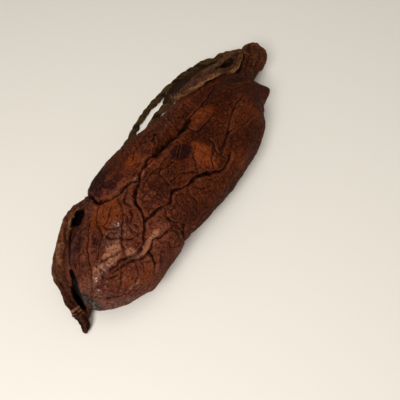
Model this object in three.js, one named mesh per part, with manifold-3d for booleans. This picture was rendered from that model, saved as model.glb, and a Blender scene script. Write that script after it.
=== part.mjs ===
// A dried, smoked sausage in its natural casing, lying on its side on z = 0. Millimetres, +Z up.
// +X runs from the twisted tail to the tied knob, and the hanging twine lies along the +Y side.
import * as THREE from "three";
import { mergeVertices } from "three/addons/utils/BufferGeometryUtils.js";
import Module from "manifold-3d";

const wasm = await Module();
wasm.setup();

// Middle of the sausage and its gut strip in the drawing's own x and y; the part's origin lies under it.
const FOOD_MIDDLE = { x: 2.9, y: 1.4 };

// Filled casing: sections from the rounded lower end to the pointed corner at the shoulder.
// x and y place the middle of a section, z is its height, wide and high are its half sizes.
const BODY_SECTIONS = [
  { x: -99.4, y: -9.9, z: 16.5, wide: 14, high: 16 },
  { x: -90, y: -7.9, z: 19.5, wide: 21.8, high: 20.5 },
  { x: -80, y: -4.9, z: 21.5, wide: 26.6, high: 23 },
  { x: -66, y: -2.2, z: 23, wide: 30, high: 24.5 },
  { x: -50, y: 0.6, z: 24.5, wide: 32, high: 26 },
  { x: -32, y: 2.9, z: 25.5, wide: 33.8, high: 27 },
  { x: -12, y: 0.8, z: 25.5, wide: 34.2, high: 27 },
  { x: 8, y: -1.2, z: 24.5, wide: 33, high: 26 },
  { x: 28, y: -1.2, z: 23.5, wide: 32, high: 25 },
  { x: 44, y: -0.8, z: 22.5, wide: 30.2, high: 23.5 },
  { x: 56, y: -1.2, z: 21.5, wide: 26.6, high: 21 },
  { x: 66, y: -2.2, z: 21, wide: 21, high: 17.5 },
  { x: 74, y: -5.4, z: 21, wide: 14.6, high: 12.5 },
  { x: 80, y: -9.8, z: 21.5, wide: 7, high: 7 },
  { x: 86.4, y: -14.6, z: 22.4, wide: 1.2, high: 1.8 },
];
const BODY_ROWS = 84;
const BODY_SIDES = 58;
const BODY_TOP_BIAS = 0.28; // share by which the columns crowd towards the top of the casing
const BODY_GIRTH_RADIUS = 31; // turns an angle round the casing into millimetres
const END_ROUNDING = 24;
const CORNER_ROUNDING = 2;

// Pillows of meat between the folds, and the slower swell of the filling under them
const PILLOW_HEIGHT = 2.2;
const PILLOW_SPREAD = 5;
const PILLOW_LEVEL = 0.16; // share of the pillow height that stands above the sections
const SWELL_HEIGHT = 0.5;

// Folds of the shrunken casing. A path runs through [x, degrees round the casing, depth], with
// 90 degrees on top and 180 on the -Y side.
const FOLD_STEP = 1;
const FOLDS = [
  { width: 3.6, path: [[44, 75, 1], [28, 75, 2.4], [10, 76, 4], [-6, 76, 6], [-18, 80, 5]] },
  { width: 3.6, path: [[-18, 80, 5], [-33, 87, 3.6], [-43, 97, 3.6], [-49, 113, 3.8], [-60, 124, 3.8]] },
  { width: 3.4, path: [[-55, 129, 2], [-62, 134, 3], [-68, 127, 3], [-74, 108, 2.6], [-81, 101, 1.4]] },
  { width: 3.4, path: [[-26, 120, 3], [-15, 126, 4], [-5, 130, 4.6], [5, 140, 4.4], [13, 136, 1]] },
  { width: 3.2, path: [[-49, 113, 2.8], [-40, 120, 2.4], [-26, 120, 3]] },
  { width: 3.4, path: [[-49, 8, 1], [-49, 36, 2.8], [-50, 56, 3.4], [-46, 72, 3], [-34, 86, 3]] },
  { width: 3.4, path: [[-50, 58, 2.4], [-57, 66, 2.8], [-65, 80, 2.6], [-74, 86, 2], [-82, 92, 1]] },
  { width: 3.4, path: [[-65, 79, 2.4], [-64, 95, 2.4], [-56, 118, 2.2]] },
  { width: 3.4, path: [[-55, 133, 2.4], [-46, 136, 2.8], [-43, 150, 2.8], [-47, 166, 1.6]] },
  { width: 3.4, path: [[-61, 134, 2.8], [-66, 147, 2.6], [-72, 162, 1]] },
  { width: 3.4, path: [[-70, 68, 2], [-76, 76, 2.4], [-86, 88, 1.4]] },
  { width: 3.4, path: [[48, 107, 1.4], [35, 108, 2.6], [24, 117, 2.6], [11, 125, 1.8]] },
  { width: 3.2, path: [[24, 118, 2], [34, 126, 2.6], [45, 131, 1.4]] },
  { width: 3.2, path: [[27, 96, 1], [14, 97, 1.8], [8, 90, 2], [12, 79, 2]] },
  { width: 3.4, path: [[34, 56, 1], [18, 52, 2.2], [4, 56, 2.4], [-8, 66, 1.4]] },
  { width: 2.8, path: [[78, 68, 1], [71, 82, 2], [60, 91, 1]] },
  { width: 4.8, path: [[-55, 34, 3], [-62, 38, 8], [-68, 37, 8], [-74, 42, 3]] },
  { width: 3.4, path: [[-23, 146, 1], [-26, 166, 2.4], [-30, 196, 1.6]] },
];

// The gathered neck above the filling and the knob that it ends in
const NECK_SECTIONS = [
  { x: 40, y: 6, z: 33, wide: 6, high: 6 },
  { x: 50, y: 5.6, z: 31, wide: 7.4, high: 7 },
  { x: 62, y: 5.2, z: 27.4, wide: 8, high: 7.6 },
  { x: 74, y: 5.6, z: 23.4, wide: 7.6, high: 7.2 },
  { x: 84, y: 6.8, z: 20.2, wide: 6.8, high: 6.4 },
  { x: 93, y: 9, z: 18.2, wide: 6, high: 5.8 },
  { x: 99, y: 10.8, z: 18, wide: 7, high: 6.6 },
  { x: 104, y: 12.4, z: 18, wide: 8.9, high: 8.4 },
  { x: 110, y: 14.6, z: 18, wide: 9.2, high: 8.8 },
  { x: 117.4, y: 17.2, z: 18, wide: 8.4, high: 8 },
];
const NECK_ROWS = 28;
const NECK_SIDES = 18;
const NECK_ROUNDING = 7;
const NECK_PLEATS = 5;
const NECK_PLEAT_DEPTH = 0.6;

// The empty fold of casing along the lower end, which twists into the tail
const FLAP_SECTIONS = [
  { x: -52, y: 29, z: 26, wide: 3.4, high: 5 },
  { x: -60, y: 29.6, z: 28.6, wide: 3.4, high: 7 },
  { x: -67.5, y: 28.8, z: 29.6, wide: 3, high: 7.5 },
  { x: -73.8, y: 27, z: 29.4, wide: 3, high: 7.5 },
  { x: -79.2, y: 24, z: 28.4, wide: 3.2, high: 8 },
  { x: -84, y: 21.4, z: 27, wide: 4.4, high: 8.5 },
  { x: -89.2, y: 18, z: 24.8, wide: 5.6, high: 9 },
  { x: -93, y: 14.8, z: 22.4, wide: 5.2, high: 8.5 },
  { x: -96.6, y: 10.8, z: 19.2, wide: 3.8, high: 7.5 },
  { x: -99.8, y: 7.6, z: 16.2, wide: 3.3, high: 6.4 },
  { x: -102.6, y: 4.6, z: 13.2, wide: 3.3, high: 5.2 },
  { x: -104.6, y: 1.2, z: 10.4, wide: 3.3, high: 3.8 },
  { x: -105.9, y: -2.4, z: 8, wide: 3.6, high: 3.5 },
  { x: -106.9, y: -6, z: 6, wide: 2.7, high: 2.6 },
  { x: -108.6, y: -8.8, z: 4.4, wide: 2, high: 2 },
  { x: -111.8, y: -9.4, z: 3, wide: 1.3, high: 1.3 },
];
const FLAP_ROWS = 38;
const FLAP_SIDES = 12;
const FLAP_ROUNDING = 3;
const FLAP_PLEATS = 2;
const FLAP_PLEAT_DEPTH = 0.4;
const FLAP_TWIST_PITCH = 60;

// The dried strip of gut that hangs from the knob over the shoulder
const STRIP_SECTIONS = [
  { x: 104.3, y: 22.1, z: 22.4, wide: 1.8, high: 0.8, roll: 45 },
  { x: 98.6, y: 19.6, z: 22, wide: 2, high: 0.8, roll: 42 },
  { x: 91.3, y: 17.4, z: 23.4, wide: 2, high: 0.9, roll: 38 },
  { x: 82.5, y: 16.3, z: 26.6, wide: 2.2, high: 0.9, roll: 34 },
  { x: 73, y: 15.5, z: 31.4, wide: 2.8, high: 0.9, roll: 30 },
  { x: 63.5, y: 16, z: 36.8, wide: 3.8, high: 1, roll: 30 },
  { x: 55.2, y: 17, z: 40.6, wide: 5, high: 1.1, roll: 30 },
  { x: 47, y: 17.6, z: 43, wide: 5, high: 1.1, roll: 30 },
  { x: 41.8, y: 20.2, z: 42.4, wide: 4.4, high: 1, roll: 30 },
  { x: 37, y: 23.4, z: 40.6, wide: 3.8, high: 1, roll: 32 },
  { x: 34.4, y: 27.8, z: 37, wide: 3.2, high: 0.9, roll: 32 },
  { x: 32.2, y: 31.2, z: 34.4, wide: 1.6, high: 0.8, roll: 32 },
];
const STRIP_ROWS = 34;
const STRIP_SIDES = 10;
const STRIP_ROUNDING = 2;

// The loop of hanging twine: out from under the knob, down beside the sausage and back
const TWINE_DIAMETER = 3.2;
const TWINE_SIDES = 8;
const TWINE_STEPS = 52;
const TWINE_ROUTE = [
  [104.2, 24.4, 18.4],
  [100.4, 29.6, 17.4],
  [96, 34.4, 16],
  [91, 39, 14.4],
  [84.4, 43.8, 12.2],
  [77, 48.4, 9.8],
  [69, 52, 7.6],
  [60, 54.6, 5.4],
  [50.6, 56, 3.4],
  [41, 56.8, 2],
  [31, 56.8, 1.7],
  [20.6, 55.4, 1.7],
  [10.4, 52.9, 1.7],
  [0, 50.6, 1.7],
  [-12, 49.4, 1.7],
  [-21.5, 47.4, 1.7],
  [-27.4, 42, 1.7],
  [-26.6, 35.4, 1.7],
  [-19.6, 33.2, 1.7],
  [-10, 36.4, 1.7],
  [2, 41, 1.7],
  [11.2, 43.9, 1.7],
  [19.5, 45.9, 1.9],
  [27, 47.1, 2.4],
  [34, 47.5, 3.4],
  [40.7, 46.9, 4.8],
  [46.7, 45.3, 6.4],
  [52.5, 43.5, 8],
  [58.3, 41.2, 9.8],
  [64.9, 38.7, 11.6],
  [72, 36, 13.3],
  [79.8, 33.3, 15],
  [87.9, 30.8, 16.6],
  [95.2, 27.9, 18.2],
  [101, 23.6, 20.2],
];

// Removes what the skin of a closed geometry repeats and returns it as a solid.
function solidOf(geometry) {
  const bare = geometry.clone();
  bare.deleteAttribute("normal");
  bare.deleteAttribute("uv");
  const merged = mergeVertices(bare, 1e-3);
  const corners = merged.index.array;
  const kept = [];
  for (let i = 0; i < corners.length; i += 3) {
    const [a, b, c] = [corners[i], corners[i + 1], corners[i + 2]];
    if (a !== b && b !== c && c !== a) {
      kept.push(a, b, c);
    }
  }
  const mesh = new wasm.Mesh({
    numProp: 3,
    vertProperties: new Float32Array(merged.attributes.position.array),
    triVerts: new Uint32Array(kept),
  });
  return new wasm.Manifold(mesh);
}

// Turns a solid back into a geometry with flat faces.
function geometryOf(solid) {
  const mesh = solid.getMesh();
  const geometry = new THREE.BufferGeometry();
  geometry.setAttribute("position", new THREE.BufferAttribute(new Float32Array(mesh.vertProperties), 3));
  geometry.setIndex(new THREE.BufferAttribute(new Uint32Array(mesh.triVerts), 1));
  geometry.computeVertexNormals();
  return geometry;
}

// How far an end has rounded off at a distance from it: 0 at the tip, 1 from the rounding length on.
function roundedEnd(distance, rounding) {
  const inward = 1 - Math.min(distance / rounding, 1);
  return Math.sqrt(1 - inward * inward);
}

function curveThrough(points) {
  return new THREE.CatmullRomCurve3(points, false, "catmullrom", 0.5);
}

// Splits each four-cornered patch of a skin along its shorter diagonal, so that slanting folds run smooth.
function splitShorterWay(skin) {
  const corners = skin.index.array;
  const place = (i) => new THREE.Vector3().fromBufferAttribute(skin.attributes.position, i);
  for (let i = 0; i < corners.length; i += 6) {
    const [a, b, d, c] = corners.slice(i, i + 4);
    if (place(a).distanceTo(place(c)) < place(b).distanceTo(place(d))) {
      corners.set([a, b, c, a, c, d], i);
    }
  }
}

// A closed skin through oval sections. The relief is added outwards at (x, degrees, distance along).
function loft(sections, { rows, sides, startRounding, endRounding, topBias = 0, relief = () => 0 }) {
  const spine = curveThrough(sections.map((s) => new THREE.Vector3(s.x, s.y, s.z)));
  const girth = curveThrough(sections.map((s) => new THREE.Vector3(s.wide, s.high, s.roll ?? 0)));
  spine.arcLengthDivisions = 400;
  const length = spine.getLength();
  const profile = [];
  for (let row = 0; row <= rows; row += 1) {
    const even = row / rows;
    const eased = (1 - Math.cos(Math.PI * even)) / 2;
    const radius = row === 0 || row === rows ? 0 : 1;
    profile.push(new THREE.Vector2(radius, 0.6 * even + 0.4 * eased));
  }
  const skin = new THREE.LatheGeometry(profile, sides);
  const position = skin.attributes.position;
  const up = new THREE.Vector3(0, 0, 1);
  for (let i = 0; i < position.count; i += 1) {
    const share = position.getY(i);
    const along = spine.getUtoTmapping(share);
    const middle = spine.getPoint(along);
    const size = girth.getPoint(along);
    const forward = spine.getTangent(along);
    const aside = new THREE.Vector3().crossVectors(up, forward).normalize();
    const above = new THREE.Vector3().crossVectors(forward, aside);
    const roll = THREE.MathUtils.degToRad(size.z);
    const column = Math.atan2(position.getX(i), position.getZ(i));
    const angle = column + topBias * Math.cos(column);
    const distance = share * length;
    const closing = roundedEnd(distance, startRounding) * roundedEnd(length - distance, endRounding);
    const bump = relief(middle.x, THREE.MathUtils.radToDeg(angle), distance);
    const flat = (size.x + bump) * closing * Math.cos(angle);
    const tall = (size.y + bump) * closing * Math.sin(angle);
    middle.addScaledVector(aside, flat * Math.cos(roll) - tall * Math.sin(roll));
    middle.addScaledVector(above, flat * Math.sin(roll) + tall * Math.cos(roll));
    position.setXYZ(i, middle.x, middle.y, middle.z);
  }
  splitShorterWay(skin);
  return skin;
}

// Where a place on the casing lies once it is unrolled, in millimetres.
function unrolled(x, degrees) {
  return new THREE.Vector2(x, THREE.MathUtils.degToRad(degrees) * BODY_GIRTH_RADIUS);
}

const foldPoints = FOLDS.flatMap(({ width, path }) => {
  const line = curveThrough(path.map(([x, degrees, depth]) => {
    const place = unrolled(x, degrees);
    return new THREE.Vector3(place.x, place.y, depth);
  }));
  const points = line.getSpacedPoints(Math.ceil(line.getLength() / FOLD_STEP));
  return points.map((point) => ({ x: point.x, y: point.y, depth: point.z, width }));
});

// Relief of the filled casing: grooves along the folds and pillows between them.
function bodyRelief(x, degrees) {
  const turned = degrees < -90 ? degrees + 360 : degrees;
  const place = unrolled(x, turned);
  let groove = 0;
  let nearest = Infinity;
  for (const point of foldPoints) {
    const distance = Math.hypot(place.x - point.x, place.y - point.y);
    nearest = Math.min(nearest, distance);
    groove = Math.max(groove, point.depth * Math.exp(-((distance / point.width) ** 2)));
  }
  const pillow = PILLOW_HEIGHT * (PILLOW_LEVEL - Math.exp(-nearest / PILLOW_SPREAD));
  const swell = SWELL_HEIGHT * Math.sin(place.x / 7 + place.y / 11) * Math.sin(place.y / 6 - place.x / 13);
  const height = Math.sin(THREE.MathUtils.degToRad(turned));
  const shown = THREE.MathUtils.smoothstep(height, -0.9, -0.5);
  const corner = 1 - THREE.MathUtils.smoothstep(x, 72, 84);
  return shown * corner * (pillow + swell - groove);
}

// Relief of gathered or twisted casing: pleats that wind round as they run along.
function pleats(count, depth, pitch = Infinity) {
  return (x, degrees, along) => {
    const turn = THREE.MathUtils.degToRad(degrees) + (2 * Math.PI * along) / pitch;
    return depth * (Math.cos(count * turn) + 0.5 * Math.cos((count + 2) * turn + along / 6));
  };
}

function sausageGeometry() {
  const body = solidOf(loft(BODY_SECTIONS, {
    rows: BODY_ROWS,
    sides: BODY_SIDES,
    startRounding: END_ROUNDING,
    endRounding: CORNER_ROUNDING,
    topBias: BODY_TOP_BIAS,
    relief: bodyRelief,
  }));
  const neck = solidOf(loft(NECK_SECTIONS, {
    rows: NECK_ROWS,
    sides: NECK_SIDES,
    startRounding: NECK_ROUNDING,
    endRounding: NECK_ROUNDING,
    relief: pleats(NECK_PLEATS, NECK_PLEAT_DEPTH),
  }));
  const flap = solidOf(loft(FLAP_SECTIONS, {
    rows: FLAP_ROWS,
    sides: FLAP_SIDES,
    startRounding: FLAP_ROUNDING,
    endRounding: FLAP_ROUNDING,
    relief: pleats(FLAP_PLEATS, FLAP_PLEAT_DEPTH, FLAP_TWIST_PITCH),
  }));
  // The board side is pressed flat where the sausage lies on it.
  const under = new THREE.BoxGeometry(400, 200, 40);
  under.translate(0, 0, -20);
  const whole = body.add(neck).add(flap);
  return geometryOf(whole.subtract(solidOf(under)));
}

function twineGeometry() {
  const section = new THREE.Shape();
  section.absarc(0, 0, TWINE_DIAMETER / 2, 0, 2 * Math.PI);
  const corners = section.getSpacedPoints(TWINE_SIDES).slice(0, TWINE_SIDES);
  const route = curveThrough(TWINE_ROUTE.map((p) => new THREE.Vector3(...p)));
  return new THREE.ExtrudeGeometry(new THREE.Shape(corners), {
    steps: TWINE_STEPS,
    bevelEnabled: false,
    extrudePath: route,
  });
}

function named(name, geometry, color, roughness) {
  const material = new THREE.MeshStandardMaterial({ color, roughness, metalness: 0 });
  const mesh = new THREE.Mesh(geometry, material);
  mesh.name = name;
  return mesh;
}

const group = new THREE.Group();
group.position.set(-FOOD_MIDDLE.x, -FOOD_MIDDLE.y, 0);
group.add(named("sausage", sausageGeometry(), 0x5c2c1c, 0.55));
group.add(named("gut_strip", loft(STRIP_SECTIONS, {
  rows: STRIP_ROWS,
  sides: STRIP_SIDES,
  startRounding: STRIP_ROUNDING,
  endRounding: STRIP_ROUNDING,
}), 0x9c7446, 0.6));
group.add(named("hanging_twine", twineGeometry(), 0x4a3820, 0.85));

export default group;
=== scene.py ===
import math

import bpy
import numpy as np
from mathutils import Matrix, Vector
from mathutils.bvhtree import BVHTree


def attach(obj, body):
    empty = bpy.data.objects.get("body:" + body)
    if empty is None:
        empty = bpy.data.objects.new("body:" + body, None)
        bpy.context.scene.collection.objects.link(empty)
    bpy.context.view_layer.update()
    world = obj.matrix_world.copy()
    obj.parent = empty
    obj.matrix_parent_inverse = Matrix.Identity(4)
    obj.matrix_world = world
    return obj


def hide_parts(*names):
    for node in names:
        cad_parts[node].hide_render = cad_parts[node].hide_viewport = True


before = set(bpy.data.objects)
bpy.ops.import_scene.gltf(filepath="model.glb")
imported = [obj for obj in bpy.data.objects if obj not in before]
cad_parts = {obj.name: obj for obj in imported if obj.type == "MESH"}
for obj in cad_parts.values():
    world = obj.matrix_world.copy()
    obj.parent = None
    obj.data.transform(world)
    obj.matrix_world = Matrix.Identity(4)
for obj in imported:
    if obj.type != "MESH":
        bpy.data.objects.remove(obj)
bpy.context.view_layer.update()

# The view
# The sausage lies on a table and is looked down on steeply from the side away from its twine,
# with the tail near the viewer's left hand and the knotted neck at the far right.
CAMERA_AIM = Vector((-0.0069, -0.0174, 0))
CAMERA_DISTANCE = 0.276
CAMERA_ELEVATION = math.radians(64.6)
CAMERA_TURN = math.radians(-55.4)
PICTURE_PIXELS = 400
FOCAL_PIXELS = 413

camera = bpy.data.objects.new("camera", bpy.data.cameras.new("camera"))
bpy.context.scene.collection.objects.link(camera)
bpy.context.scene.camera = camera
towards_eye = Vector((
    math.sin(CAMERA_TURN) * math.cos(CAMERA_ELEVATION),
    -math.cos(CAMERA_TURN) * math.cos(CAMERA_ELEVATION),
    math.sin(CAMERA_ELEVATION),
))
camera.location = CAMERA_AIM + towards_eye * CAMERA_DISTANCE
camera.rotation_euler = (math.pi / 2 - CAMERA_ELEVATION, 0, CAMERA_TURN)
camera.data.lens = camera.data.sensor_width * FOCAL_PIXELS / PICTURE_PIXELS
camera.data.clip_start = 0.01
bpy.context.scene.view_settings.view_transform = "Standard"

# The hanging twine
# Smoked cotton twine, three plies laid up right-handed, dark with fat and soot. Both its ends are
# tied in under the knob of the neck, and the limp loop between them lies down along the sausage.
DRAWING_MIDDLE = np.array([0.0029, 0.0014, 0])  # lies over the part's origin in the CAD drawing
TWINE_DIAMETER = 0.0032
TWINE_FRAY = 1.22  # how much wider than its lay the old twine has frayed
KNOT_FRAY = 0.34  # and how much more beside the knob
KNOT_FRAY_REACH = 0.03
TWINE_PLIES = 3
TWINE_PITCH = 0.016
TWINE_STEP = 0.0007
PLY_SHARE = 0.33  # a ply's radius, as a share of the twine's diameter
LAY_SHARE = 0.27  # and how far out its middle runs
PLY_SIDES = 10
TWINE_FLOOR_GAP = 0.0001
TWINE_COLOUR = (0.062, 0.03, 0.01, 1)
TWINE_SOOT = (0.014, 0.0065, 0.0025, 1)
# lighter colour painted on the outer faces of the plies as a highlight
TWINE_PAINTED_HIGHLIGHT = (0.13, 0.066, 0.02, 1)
TWINE_ROUTE = [
    (0.1066, 0.0186, 0.0166),
    (0.1042, 0.0244, 0.0184),
    (0.1004, 0.0296, 0.0174),
    (0.096, 0.0344, 0.016),
    (0.091, 0.039, 0.0144),
    (0.0844, 0.0438, 0.0122),
    (0.077, 0.0484, 0.0098),
    (0.069, 0.052, 0.0076),
    (0.06, 0.0546, 0.0054),
    (0.0506, 0.056, 0.0034),
    (0.041, 0.0568, 0.002),
    (0.031, 0.0568, 0.0017),
    (0.0206, 0.0554, 0.0017),
    (0.0104, 0.0529, 0.0017),
    (0, 0.0506, 0.0017),
    (-0.012, 0.0494, 0.0017),
    (-0.0215, 0.0474, 0.0017),
    (-0.0274, 0.042, 0.0017),
    (-0.0266, 0.0354, 0.0017),
    (-0.0196, 0.0332, 0.0017),
    (-0.01, 0.0364, 0.0017),
    (0.002, 0.041, 0.0017),
    (0.0112, 0.0439, 0.0017),
    (0.0195, 0.0459, 0.0019),
    (0.027, 0.0471, 0.0024),
    (0.034, 0.0475, 0.0034),
    (0.0407, 0.0469, 0.0048),
    (0.0467, 0.0453, 0.0064),
    (0.0525, 0.0435, 0.008),
    (0.0583, 0.0412, 0.0098),
    (0.0649, 0.0387, 0.0116),
    (0.072, 0.036, 0.0133),
    (0.0798, 0.0333, 0.015),
    (0.0879, 0.0308, 0.0166),
    (0.0952, 0.0279, 0.0182),
    (0.101, 0.0236, 0.0202),
    (0.1036, 0.0168, 0.0208),
]


def smooth_through(rows, shares):
    """The smooth curve through evenly paced rows of values, at shares of its course from 0 to 1."""
    rows = np.asarray(rows, float)
    last = len(rows) - 1
    padded = np.vstack([2 * rows[0] - rows[1], rows, 2 * rows[-1] - rows[-2]])
    place = np.clip(shares, 0, 1) * last
    index = np.minimum(place.astype(int), last - 1)
    t = (place - index)[:, None]
    a, b, c, d = (padded[index + k] for k in range(4))
    return 0.5 * (2 * b + (c - a) * t + (2 * a - 5 * b + 4 * c - d) * t**2 + (3 * b - a - 3 * c + d) * t**3)


def run_along(points):
    """Distance run along a line of points, at each point."""
    return np.concatenate([[0], np.cumsum(np.linalg.norm(np.diff(points, axis=0), axis=1))])


def finely_through(rows):
    """Rows resampled closely on their smooth curve, and the distance run along its first three values."""
    fine = smooth_through(rows, np.linspace(0, 1, 4001))
    return fine, run_along(fine[:, :3])


def evenly_along(rows, step):
    """Rows resampled on their smooth curve at even steps of its first three values."""
    fine, run = finely_through(rows)
    even = np.linspace(0, run[-1], max(2, round(run[-1] / step)) + 1)
    return np.stack([np.interp(even, run, column) for column in fine.T], axis=1)


def directions(points):
    """Unit directions along a line of points, with the two level and upright directions across it."""
    forward = np.gradient(points, axis=0)
    forward /= np.linalg.norm(forward, axis=1, keepdims=True)
    aside = np.cross([0, 0, 1], forward)
    aside /= np.linalg.norm(aside, axis=1, keepdims=True)
    return forward, aside, np.cross(forward, aside)


def bell(offset, width, power=2):
    """1 at no offset, falling away past the width; a higher power makes the top flatter."""
    return np.exp(-((offset / width) ** power))


def with_waves(start, run, waves):
    """A start with sine waves along a run added, each a height, its radians to the metre and its phase."""
    return sum((height * np.sin(run * pace + phase) for height, pace, phase in waves), start)


def grid_faces(rows, columns, first=0):
    """Four-cornered faces of a grid whose columns close on themselves, facing out."""
    row, column = np.meshgrid(np.arange(rows - 1), np.arange(columns), indexing="ij")
    after = (column + 1) % columns
    here, there = row * columns, (row + 1) * columns
    corners = [here + column, here + after, there + after, there + column]
    return (np.stack(corners, axis=-1).reshape(-1, 4) + first).tolist()


def tube_faces(rows, columns, first):
    """The faces of such a grid, with one more over each of its two open ends."""
    last = first + (rows - 1) * columns
    start_cap = [first + side for side in reversed(range(columns))]
    return grid_faces(rows, columns, first) + [start_cap, [last + side for side in range(columns)]]


def mesh_object(name, points, faces):
    mesh = bpy.data.meshes.new(name)
    mesh.from_pydata(np.asarray(points).reshape(-1, 3).tolist(), [], faces)
    mesh.validate()
    mesh.polygons.foreach_set("use_smooth", [True] * len(mesh.polygons))
    made = bpy.data.objects.new(name, mesh)
    bpy.context.scene.collection.objects.link(made)
    return made


def store(made, name, values):
    """Keeps one value for each point of a mesh, which its material reads by that name."""
    attribute = made.data.attributes.new(name, "FLOAT", "POINT")
    attribute.data.foreach_set("value", np.asarray(values, np.float32))


twine_line = evenly_along(np.array(TWINE_ROUTE) - DRAWING_MIDDLE, TWINE_STEP)
_, twine_aside, twine_above = directions(twine_line)
twine_run = run_along(twine_line)
from_knob = np.minimum(twine_run, twine_run[-1] - twine_run)
fray = TWINE_FRAY + KNOT_FRAY * bell(from_knob, KNOT_FRAY_REACH)
fray = fray * with_waves(1, twine_run, [(0.08, 170, 1), (0.07, 410, 0)])
ply_radius = PLY_SHARE * fray * TWINE_DIAMETER
lay_radius = LAY_SHARE * fray * TWINE_DIAMETER
around = np.linspace(0, 2 * np.pi, PLY_SIDES, endpoint=False)
ply_points, ply_faces, ply_painted_light = [], [], []
for ply in range(TWINE_PLIES):
    wound = 2 * np.pi * (twine_run / TWINE_PITCH + ply / TWINE_PLIES)
    phase = with_waves(wound, twine_run, [(0.5, 95, ply), (0.7, 41, 2 * ply)])
    uneven = with_waves(1, twine_run, [(0.13, 460, 2 * ply), (0.1, 1300, ply)])
    outward = np.cos(phase)[:, None] * twine_aside + np.sin(phase)[:, None] * twine_above
    ply_line = twine_line + lay_radius[:, None] * outward
    _, across, upright = directions(ply_line)
    lobes = np.cos(around)[None, :, None] * across[:, None] + np.sin(around)[None, :, None] * upright[:, None]
    closing = np.sqrt(np.clip(from_knob / ply_radius, 0.02, 1))
    ring = ply_line[:, None] + (ply_radius * uneven * closing)[:, None, None] * lobes
    ring[..., 2] = np.maximum(ring[..., 2], TWINE_FLOOR_GAP)
    ply_faces += tube_faces(len(twine_line), PLY_SIDES, sum(len(points) for points in ply_points))
    ply_points.append(ring.reshape(-1, 3))
    # how far each point of a ply faces out from the twine, for the painted highlight on the outer faces
    ply_painted_light.append((lobes * outward[:, None]).sum(axis=2).ravel())
twine = mesh_object("hanging_twine_plies", np.vstack(ply_points), ply_faces)
store(twine, "outward", np.concatenate(ply_painted_light))


def new_material(name):
    """A new material, its node tree and its Principled shader."""
    material = bpy.data.materials.new(name)
    material.use_nodes = True
    return material, material.node_tree, material.node_tree.nodes["Principled BSDF"]


def placed(tree, kind, **settings):
    """A node of that kind with its properties and its inputs' values set; an input is named with in_."""
    node = tree.nodes.new(kind)
    for key, value in settings.items():
        if key.startswith("in_"):
            wanted = key[3:].replace("_", " ")
            socket = next(s for s in node.inputs if s.name.lower() == wanted and s.enabled)
            socket.default_value = value
        else:
            setattr(node, key, value)
    return node


def joined(tree, pairs):
    for source, target in pairs:
        tree.links.new(source, target)


def given(tree, socket, value):
    """Feeds an input from another socket, or sets it to a plain value."""
    if isinstance(value, bpy.types.NodeSocket):
        tree.links.new(value, socket)
    else:
        socket.default_value = value


def ranged(tree, value, low, high, to_low=0.0, to_high=1.0):
    """A value spread smoothly from one range to another; returns its socket."""
    spread = placed(tree, "ShaderNodeMapRange", interpolation_type="SMOOTHSTEP")
    tree.links.new(value, spread.inputs["Value"])
    for name, number in (("From Min", low), ("From Max", high), ("To Min", to_low), ("To Max", to_high)):
        spread.inputs[name].default_value = number
    return spread.outputs["Result"]


def stored(tree, name):
    return placed(tree, "ShaderNodeAttribute", attribute_name=name).outputs["Fac"]


def marked(tree, name, low, high, to_low=0.0, to_high=1.0):
    """A field stored on the mesh, spread smoothly from one range to another; returns its socket."""
    return ranged(tree, stored(tree, name), low, high, to_low, to_high)


def noise_on(tree, vector, scale, detail, roughness=0.5, distortion=0.0):
    """Noise over a vector; returns its socket."""
    texture = placed(tree, "ShaderNodeTexNoise", in_scale=scale, in_detail=detail)
    texture.inputs["Roughness"].default_value = roughness
    texture.inputs["Distortion"].default_value = distortion
    tree.links.new(vector, texture.inputs["Vector"])
    return texture.outputs["Fac"]


def noise_at(tree, scale, detail, roughness=0.5, offset=0.0):
    """Noise over the object's own coordinates, shifted by an offset; returns its socket."""
    mapping = placed(tree, "ShaderNodeMapping", in_location=(offset, offset, offset))
    tree.links.new(placed(tree, "ShaderNodeTexCoord").outputs["Object"], mapping.inputs["Vector"])
    return noise_on(tree, mapping.outputs["Vector"], scale, detail, roughness)


def layered(tree, ground, layers):
    """Colours laid over a ground one after another, each after the share of it that shows."""
    for share, colour in layers:
        mix = placed(tree, "ShaderNodeMix", data_type="RGBA")
        for socket, value in ((mix.inputs[0], share), (mix.inputs[6], ground), (mix.inputs[7], colour)):
            given(tree, socket, value)
        ground = mix.outputs[2]
    return ground


def embossed(tree, shader, height, strength, distance):
    """Gives a shader the fine relief of a height."""
    bump = placed(tree, "ShaderNodeBump", in_strength=strength, in_distance=distance)
    joined(tree, [(height, bump.inputs["Height"]), (bump.outputs["Normal"], shader.inputs["Normal"])])


twine_material, tree, shader = new_material("smoked twine")
fibre = noise_at(tree, 2600, 2)
tone = layered(tree, TWINE_SOOT, [
    (ranged(tree, noise_at(tree, 110, 3), 0.35, 0.65), TWINE_COLOUR),
    # the outer faces of the plies painted lighter as a highlight, which leaves the hollows between them
    # darker as painted shade
    (marked(tree, "outward", 0.1, 1.0, 0.0, 0.3), TWINE_PAINTED_HIGHLIGHT),
    (ranged(tree, fibre, 0.55, 0.35, 0.0, 0.8), TWINE_SOOT),
])
tree.links.new(tone, shader.inputs["Base Color"])
shader.inputs["Roughness"].default_value = 0.8
shader.inputs["Specular IOR Level"].default_value = 0.06
embossed(tree, shader, fibre, strength=0.9, distance=0.0005)
twine.data.materials.append(twine_material)
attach(twine, "root")
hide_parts("hanging_twine")

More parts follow.
